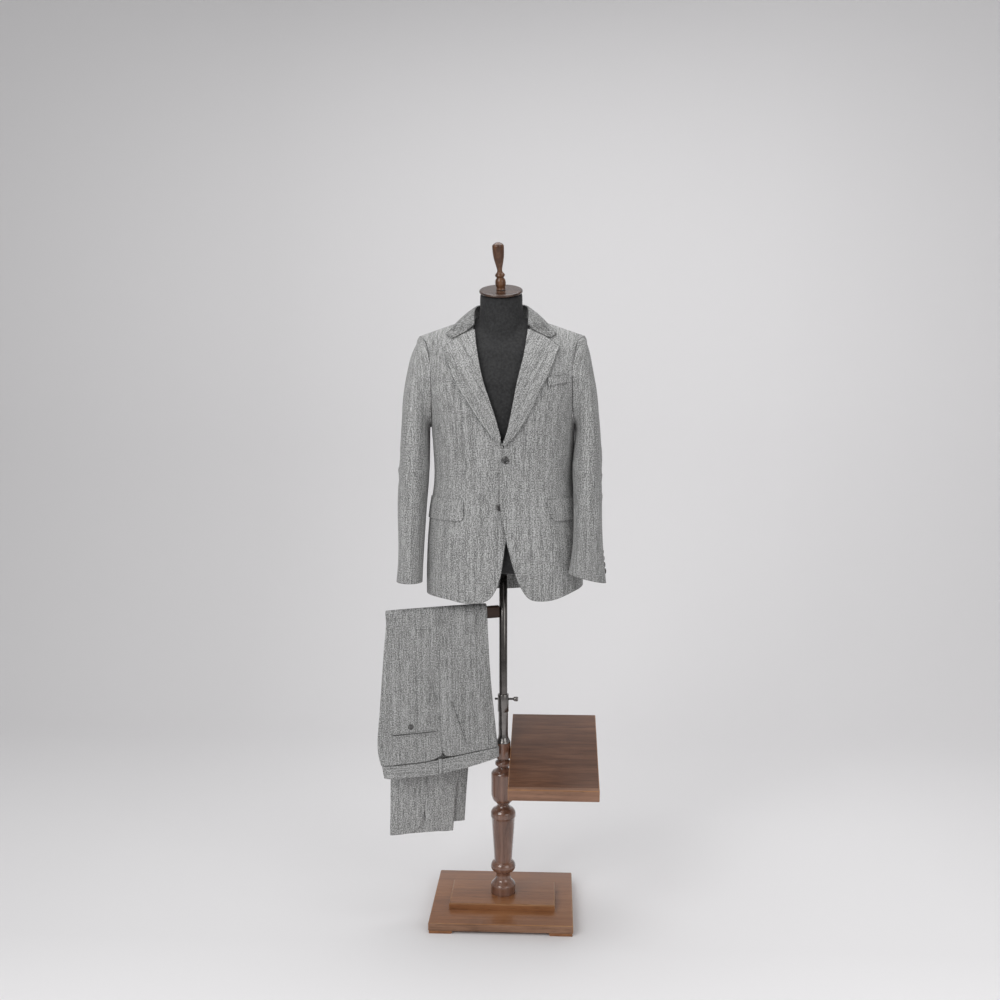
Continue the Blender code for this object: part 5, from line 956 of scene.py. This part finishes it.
# Sleeves
# Each sleeve has a wide outer piece and a narrow under piece, seamed at the front and the
# back, eased into the armhole with a soft fullness at its head.
SLEEVE_SOFT_FOLDS = {
    "left": (
        (0.030, 1.470, 8.0, 0.070, 0.0110, -0.0018),
        (-0.030, 1.455, -10.0, 0.080, 0.0120, -0.0016),
        (0.070, 1.430, 15.0, 0.070, 0.0110, 0.0018),
        (0.060, 1.240, 62.0, 0.050, 0.0090, -0.0020),
        (0.075, 1.215, 100.0, 0.045, 0.0080, 0.0018),
        (0.060, 1.185, 80.0, 0.050, 0.0080, -0.0020),
        (0.080, 1.160, 110.0, 0.045, 0.0080, 0.0016),
        (-0.040, 1.230, -65.0, 0.050, 0.0100, 0.0022),
        (-0.060, 1.120, -15.0, 0.090, 0.0120, -0.0022),
        (0.020, 1.080, 12.0, 0.090, 0.0110, 0.0022),
        (0.120, 1.330, 30.0, 0.080, 0.0110, -0.0026),
        (0.140, 1.290, 40.0, 0.080, 0.0110, 0.0026),
        (-0.097, 1.260, 0.0, 0.110, 0.0400, 0.0036),
    ),
    "right": (
        (0.030, 1.470, 8.0, 0.070, 0.0110, -0.0018),
        (-0.030, 1.455, -10.0, 0.080, 0.0120, -0.0016),
        (0.070, 1.430, 15.0, 0.070, 0.0110, 0.0018),
        (0.060, 1.250, 62.0, 0.050, 0.0090, -0.0026),
        (0.075, 1.225, 100.0, 0.045, 0.0080, 0.0026),
        (0.060, 1.195, 80.0, 0.050, 0.0080, -0.0026),
        (-0.040, 1.225, -65.0, 0.050, 0.0100, 0.0022),
        (-0.050, 1.090, -12.0, 0.100, 0.0120, -0.0022),
        (0.020, 1.060, 8.0, 0.090, 0.0110, 0.0022),
        (0.120, 1.330, 30.0, 0.080, 0.0110, -0.0026),
    ),
}
# Where the middle of each sleeve is from the mast, by height.
SLEEVE_HEIGHTS = {
    "left": (0.900, 1.060, 1.206, 1.330, 1.600),
    "right": (0.880, 1.060, 1.204, 1.330, 1.600),
}
SLEEVE_ACROSS = {
    "left": (0.224, 0.227, 0.227, 0.227, 0.222),
    "right": (0.248, 0.244, 0.239, 0.235, 0.228),
}
SLEEVE_DEPTHS = {
    "left": (-0.105, -0.085, -0.040, -0.008, 0.000),
    "right": (-0.062, -0.042, -0.018, -0.006, 0.000),
}


def sleeve_axis(side_name, height):
    """Where the middle of a sleeve is at a height."""
    sign = 1 if side_name == "left" else -1
    heights = SLEEVE_HEIGHTS[side_name]
    across = np.interp(height, heights, SLEEVE_ACROSS[side_name]) * sign + mast_x
    return across, np.interp(height, heights, SLEEVE_DEPTHS[side_name]) + mast_y


def round_the_sleeve(points, side_name):
    """Length of cloth round the sleeve from its front, and height."""
    sign = 1 if side_name == "left" else -1
    x, y = sleeve_axis(side_name, points[:, 2])
    turn = np.arctan2((points[:, 0] - x) * sign, -(points[:, 1] - y))
    return turn * 0.062, points[:, 2]


for side_name in SIDES:
    for part, flat, areas in (
        ("top", (0.275, 0.670), {"left": 0.1115, "right": 0.1215}),
        ("under", (0.165, 0.540), {"left": 0.0525, "right": 0.0585}),
    ):
        node = f"sleeve_{side_name}_{part}"

        def out_of_sleeve(point, side_name=side_name):
            x, y = sleeve_axis(side_name, point[2])
            return Vector((point[0] - float(x), point[1] - float(y), 0)).normalized()

        piece, out = cut_piece(node, 3, out_of_sleeve)
        points = get_points(piece)
        across, along = round_the_sleeve(points, side_name)
        lay_weave(piece, across, along)
        rise = soft_folds(SLEEVE_SOFT_FOLDS[side_name], across, along)
        points = points + out * rise[:, None]
        set_points(piece, sew_down(piece, points, out))
        # Painted shade: the left sleeve takes the darker copy of the cloth.
        cloth = shaded_cloth if side_name == "left" else suit_cloth
        finish_cloth(piece, [node], flat, areas[side_name], material=cloth)

# Pocket flaps
# A lined flap over each hip pocket, with its front corner rounded, stitched round its edge.


def laid_on_body(node, flat, area):
    """A small piece on the body, which follows the folds of the cloth under it."""
    piece, out = cut_piece(node, 3, out_of_body)
    points = get_points(piece)
    lay_weave(piece, *round_the_body(points))
    set_points(piece, points + out * body_rise(points)[:, None])
    finish_cloth(piece, [node], flat, area, material=edged_cloth)


for side in SIDES:
    laid_on_body(f"flap_{side}", (0.152, 0.062), 0.0068)

# Breast pocket welt
# A narrow strip sewn over the mouth of the breast pocket on the left.
laid_on_body("breast_welt", (0.056, 0.026), None)

# Buttons
# Dark grey horn buttons, dished inside a rounded rim, with four holes. Each is sewn on with
# two bars of grey thread.


def horn(name, dark, light):
    """Polished horn with cloudy streaks."""
    material, shader, feed, add, graded = new_finish(name)
    place = add("TexCoord", "Object", {})
    slant = {"Rotation": (0.3, 0.5, 0.9), "Scale": (1.0, 1.0, 0.3), "Vector": place}
    streaked = add("Mapping", "Vector", slant)
    clouds = {"Scale": 190.0, "Detail": 3.0, "Distortion": 1.0, "Vector": streaked}
    clouds = add("TexNoise", "Fac", clouds)
    colour = graded(clouds, (0.48, dark), (0.72, light))
    relief = add("Bump", "Normal", {"Strength": 0.08, "Distance": 0.0003, "Height": clouds})
    feed(shader, {"Base Color": colour, "Normal": relief, "Roughness": 0.16, "Coat Weight": 0.6})
    return material


def thread_material(name, colour):
    """Twisted sewing thread."""
    material, shader, feed, add, graded = new_finish(name)
    place = add("TexCoord", "Object", {})
    twist = add("TexNoise", "Fac", {"Scale": 1800.0, "Vector": place})
    strands = graded(twist, (0.35, [c * 0.6 for c in colour]), (0.65, colour))
    feed(shader, {"Base Color": strands, "Roughness": 0.7})
    return material


front_horn = horn("grey_horn", (0.022, 0.021, 0.020), (0.260, 0.255, 0.245))
cuff_horn = horn("dark_horn", (0.020, 0.018, 0.017), (0.085, 0.078, 0.072))
grey_thread = thread_material("grey_thread", (0.16, 0.16, 0.165))
HOLE_SPREAD = 0.20


def sewn_button(name, radius, depth, material):
    """One button about the origin, with its face up."""
    dish = [(0.0, 0.62), (0.30, 0.62), (0.52, 0.66), (0.66, 0.80), (0.76, 0.96)]
    dish += [(0.84, 1.0), (0.93, 0.95), (0.985, 0.80), (1.0, 0.62), (0.985, 0.40)]
    dish += [(0.92, 0.22), (0.80, 0.08), (0.66, 0.0), (0.0, 0.0)]
    line = [(r * radius, h * depth) for r, h in dish]
    piece = turn_on_lathe(name, line, material, 36)
    hole_radius, spread = radius * 0.085, radius * HOLE_SPREAD
    for x, y in ((1, 1), (1, -1), (-1, 1), (-1, -1)):
        deselect_all()
        place = (x * spread, y * spread, 0)
        bpy.ops.mesh.primitive_cylinder_add(
            vertices=12, radius=hole_radius, depth=depth * 4, location=place
        )
        hole = bpy.context.object
        bpy.ops.object.transform_apply(location=True, rotation=True, scale=True)
        join_or_cut(piece, hole, "DIFFERENCE")
    return piece


def thread_bars(name, radius, depth):
    """Two bars of thread over the holes of a button."""
    spread = radius * HOLE_SPREAD
    bars = []
    for x in (-1, 1):
        deselect_all()
        bpy.ops.mesh.primitive_cylinder_add(vertices=8, radius=radius * 0.070, depth=spread * 2.4)
        bar = bpy.context.object
        bpy.ops.object.mode_set(mode="EDIT")
        bpy.ops.mesh.select_all(action="SELECT")
        bpy.ops.transform.rotate(value=math.pi / 2, orient_axis="X", center_override=(0, 0, 0))
        bpy.ops.object.mode_set(mode="OBJECT")
        bar.location = (x * spread, 0, depth * 0.66)
        bpy.ops.object.transform_apply(location=True, rotation=True, scale=True)
        bars.append(bar)
    deselect_all()
    for bar in bars:
        bar.select_set(True)
    bpy.context.view_layer.objects.active = bars[0]
    bpy.ops.object.join()
    bars[0].name = name
    bars[0].data.materials.append(grey_thread)
    return bars[0]


def button_place(node):
    """Middle of a button's back and the way it faces, from its solid."""
    points = np.array([v.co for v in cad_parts[node].data.vertices])
    middle = points.mean(0)
    _, _, axes = np.linalg.svd(points - middle, full_matrices=False)
    axis = axes[2]
    return middle, axis, np.abs((points - middle) @ axis).max()


BUTTONS = (
    ("button_upper", 0.0100, 0.0034, front_horn),
    ("button_lower", 0.0100, 0.0034, front_horn),
    *((f"sleeve_{side}_button_{k}", 0.0075, 0.0028, cuff_horn) for side in SIDES for k in (1, 2, 3, 4)),
    ("back_pocket_button", 0.0075, 0.0026, front_horn),
)
patterns = {}
for node, radius, depth, material in BUTTONS:
    key = (radius, depth, material.name)
    if key not in patterns:
        patterns[key] = (
            sewn_button(f"pattern_{len(patterns)}", radius, depth, material),
            thread_bars(f"pattern_thread_{len(patterns)}", radius, depth),
        )
    middle, axis, half = button_place(node)
    if node.startswith("sleeve"):
        x, y = sleeve_axis(node.split("_")[1], middle[2])
        outward = np.array([middle[0] - x, middle[1] - y, 0.0])
    else:
        outward = np.array([0.0, -1.0, 0.0])
    axis = axis * (1 if axis @ outward > 0 else -1)
    rise = float(body_rise(middle[None])[0]) if node.startswith("button") else 0.0
    place = Vector(middle + axis * (rise - half * 0.98))
    turn = Vector((0, 0, 1)).rotation_difference(Vector(axis)).to_matrix().to_4x4()
    for source, name in zip(patterns[key], (f"horn_{node}", f"thread_{node}")):
        piece = new_object(name, source.data.copy())
        piece.data.transform(Matrix.Translation(place) @ turn)
        is_button = name.startswith("horn")
        set_down(piece, "mast", [node] if is_button else [])
for pair in patterns.values():
    for source in pair:
        bpy.data.objects.remove(source, do_unlink=True)

# Trouser legs
# Two legs pressed flat and laid over the arm, the left one outside. Each has a front and a
# back piece, folded along its crease and seamed at the side and inside of the leg.
along_arm = np.array([-math.cos(arm_yaw), -math.sin(arm_yaw), 0.0])
toward_viewer = np.array([math.sin(arm_yaw), -math.cos(arm_yaw), 0.0])
MAST = np.array([mast_x, mast_y, 0.0])
LEG_SOFT_FOLDS = (
    (0.183, 0.640, 3.0, 0.100, 0.0100, -0.0028),
    (0.232, 0.660, 6.0, 0.080, 0.0070, -0.0024),
    (0.208, 0.640, 4.0, 0.100, 0.0070, 0.0022),
    (0.100, 0.700, -8.0, 0.080, 0.0120, 0.0016),
    (0.290, 0.650, 6.0, 0.100, 0.0120, 0.0018),
)
# Painted light and shade: the right leg gets a lighter copy of the cloth and the left leg a darker one.
lit_and_shaded_leg_cloths = {
    side: suiting(f"suiting_leg_{side}", tone=tone, seam_shade=0.95, edge_shade=0.9)
    for side, tone in (("left", 0.96), ("right", 1.06))
}
# Painted shade: the pocket strips are darkened almost to black along their middle, as the shade in each
# pocket's slit.
pocket_slit_shade_cloth = suiting("suiting_pocket", 1.0, 0.0050, (0.0036, 0.02), 0.02, 0.95)


def in_arm_frame(points):
    """Length along the arm, distance towards the viewer, and height."""
    local = points - MAST
    return local @ along_arm, local @ toward_viewer, points[:, 2]


def leg_piece(node, is_front, hem, area):
    """A folded piece of a leg from its solid: its seam, waist and hem are opened, and the
    cloth is given its thickness again after the folds are laid."""
    piece = plain_copy(node)
    piece.name = f"cloth_{node}"
    shape = squared_mesh(piece)
    waist_height, hem_depth = 0.50, 0.0225
    gone = []
    for face in shape.faces:
        middle = np.array(face.calc_center_median())
        normal = np.array(face.normal)
        _, toward, height = (float(v[0]) for v in in_arm_frame(middle[None]))
        at_seam = normal @ along_arm * (1 if is_front else -1) > 0.8
        at_waist = toward > 0 and normal[2] < -0.7 and height < waist_height
        at_hem = toward < 0 and height < hem + hem_depth
        if at_seam or at_waist or at_hem:
            gone.append(face)
    bmesh.ops.delete(shape, geom=gone, context="FACES")
    shape.to_mesh(piece.data)
    shape.free()
    apply_modifier(piece, "SUBSURF", levels=3, render_levels=3, boundary_smooth="PRESERVE_CORNERS")
    points = get_points(piece)
    along, toward, height = in_arm_frame(points)
    if "left" in node:
        rise = soft_folds(LEG_SOFT_FOLDS, along, height) * (toward > 0.012)
        points = points + toward_viewer[None] * rise[:, None]
    set_points(piece, points)
    piece.data.materials.append(lit_and_shaded_leg_cloths[node.split("_")[1]])
    edges = np.zeros(len(points), bool)
    shape = bmesh.new()
    shape.from_mesh(piece.data)
    for edge in shape.edges:
        if len(edge.link_faces) == 1:
            for corner in edge.verts:
                edges[corner.index] = True
    shape.free()
    rim = points[edges]
    _, rim_toward, rim_height = in_arm_frame(rim)
    at_hem = (rim_toward < 0) & (rim_height < hem + 0.004)
    write_distance(piece, "sewn_edge", distances(points, rim[~at_hem]))
    write_distance(piece, "free_edge", distances(points, rim[at_hem]))
    apply_modifier(piece, "SOLIDIFY", thickness=0.0011, offset=-1.0)
    points = get_points(piece)
    along, toward, height = in_arm_frame(points)
    over_the_arm = 1.74  # turns a height behind the arm into a length on from the front
    lay_weave(piece, along, np.where(toward > 0, height, over_the_arm - height))
    finish_cloth(piece, [node], (0.300, 1.060), area)


for side, hem in (("left", 0.2515), ("right", 0.2290)):
    leg_piece(f"trouser_{side}_front", True, hem, 0.270)
    leg_piece(f"trouser_{side}_back", False, hem, 0.300)

# Waistband
# A band of doubled cloth round the waist, open at the fly and seamed at the back. Its weave
# runs along it.


def straight_out(face):
    """The outward direction of a flat strip on one side of the arm, the same at each point."""
    return lambda point: Vector(toward_viewer * face)


for side, face in (("left", 1), ("right", -1)):
    node = f"waistband_{side}"
    piece, _ = cut_piece(node, 3, straight_out(face))
    along, _, height = in_arm_frame(get_points(piece))
    lay_weave(piece, height, along)
    finish_cloth(piece, [node], (0.038, 0.345), 0.0117, band_cloth)

# Belt loops and pocket edges
# Narrow strips of folded cloth: the loops stand on the waistband, and the others edge the
# back pocket and the slanted front pocket.
for node, flat in (
    ("belt_loop_left", (0.0100, 0.0420)),
    ("belt_loop_right", (0.0100, 0.0420)),
    ("back_pocket_left", (0.0110, 0.1280)),
    ("front_pocket_left", (0.0100, 0.1350)),
):
    piece, _ = cut_piece(node, 3, straight_out(-1 if node == "belt_loop_right" else 1))
    points = get_points(piece)
    along, _, height = in_arm_frame(points)
    if "pocket" in node:
        rise = soft_folds(LEG_SOFT_FOLDS, along, height)
        set_points(piece, points + toward_viewer[None] * rise[:, None])
        lay_weave(piece, height, along)
    else:
        lay_weave(piece, along, height)
    cloth = pocket_slit_shade_cloth if "pocket" in node else suit_cloth
    finish_cloth(piece, [node], flat, None, cloth)

# Studio
# A seamless pale sweep, soft lights from the front and above, and the camera.


def backdrop_paper():
    """Pale paper with painted light, which makes it a little brighter at the right and near the front.
    """
    material, shader, feed, add, _ = new_finish("backdrop_paper")
    place = add("TexCoord", "Object", {})

    def painted_light_drift(axis, start, end, low, high):
        value = add("SeparateXYZ", axis, {"Vector": place})
        ends = {"From Min": start, "From Max": end, "To Min": low, "To Max": high}
        return add("MapRange", "Result", {**ends, "Value": value})

    # Painted light: the paper's colour is scaled up towards the right and towards the front.
    across, nearer = painted_light_drift("X", -1.3, 1.3, 0.905, 1.070), painted_light_drift("Y", -0.9, -0.2, 1.15, 1.0)
    both = add("Math", 0, {0: across, 1: nearer}, operation="MULTIPLY")
    paper = {0: (0.790, 0.782, 0.790), "Scale": both}
    tone = add("VectorMath", "Vector", paper, operation="SCALE")
    feed(shader, {"Base Color": tone, "Roughness": 0.9})
    return material


deselect_all()
bpy.ops.mesh.primitive_plane_add(size=1.0, location=(0, 0, 0))
sweep = bpy.context.object
sweep.name = "seamless_sweep"
bpy.ops.object.mode_set(mode="EDIT")
bpy.ops.mesh.select_all(action="SELECT")
bpy.ops.transform.resize(value=(12, 8, 1), center_override=(0, 0, 0))
bpy.ops.transform.translate(value=(0, -2.4, 0))
bpy.ops.mesh.select_mode(type="EDGE")
bpy.ops.mesh.select_all(action="DESELECT")
shape = bmesh.from_edit_mesh(sweep.data)
for edge in shape.edges:
    if all(corner.co.y > 1.5 for corner in edge.verts):
        edge.select_set(True)
bmesh.update_edit_mesh(sweep.data)
sweep_radius, sweep_steps = 1.2, 16
for k in range(sweep_steps):
    first, second = (math.pi / 2 * i / sweep_steps for i in (k, k + 1))
    back = sweep_radius * (math.sin(second) - math.sin(first))
    up = sweep_radius * (math.cos(first) - math.cos(second))
    bpy.ops.mesh.extrude_region_move(TRANSFORM_OT_translate={"value": (0, back, up)})
bpy.ops.mesh.extrude_region_move(TRANSFORM_OT_translate={"value": (0, 0, 4)})
bpy.ops.mesh.select_all(action="SELECT")
bpy.ops.mesh.normals_make_consistent(inside=False)
bpy.ops.object.mode_set(mode="OBJECT")
bpy.ops.object.shade_smooth()
sweep.data.materials.append(backdrop_paper())
sweep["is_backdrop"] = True

world = bpy.data.worlds.new("studio")
bpy.context.scene.world = world
world.use_nodes = True
sky = world.node_tree.nodes["Background"].inputs
sky["Color"].default_value = (1.0, 0.995, 1.0, 1)
sky["Strength"].default_value = 0.34


def soft_light(name, place, aim, size, power):
    lamp = bpy.data.lights.new(name, "AREA")
    lamp.shape = "RECTANGLE"
    lamp.size, lamp.size_y = size
    lamp.energy = power
    stand = new_object(name, lamp)
    stand.location = place
    stand.rotation_euler = (Vector(aim) - Vector(place)).to_track_quat("-Z", "Y").to_euler()


soft_light("key", (-2.2, -3.2, 3.0), (0, 0, 1.1), (2.0, 2.4), 82)
soft_light("fill", (2.6, -3.0, 2.2), (0, 0, 1.0), (2.4, 2.4), 34)
soft_light("overhead", (0, 0.2, 3.6), (0, 0, 0.8), (2.6, 2.0), 52)

focal_pixels, photo_pixels = 1124.0, 1000.0
eye = bpy.data.cameras.new("camera")
eye.sensor_width = 36.0
eye.lens = eye.sensor_width * focal_pixels / photo_pixels
camera = new_object("camera", eye)
camera.location = (0.1407 + mast_x, -3.0167 + mast_y, 1.417)
camera.rotation_euler = (math.radians(90 - 5.2), 0, math.radians(2.84))
bpy.context.scene.camera = camera
bpy.context.scene.view_settings.view_transform = "Standard"

boxes = {"solids": solid_box, "looks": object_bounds()}
{k: [[float(c) for c in corner] for corner in box] for k, box in boxes.items()}
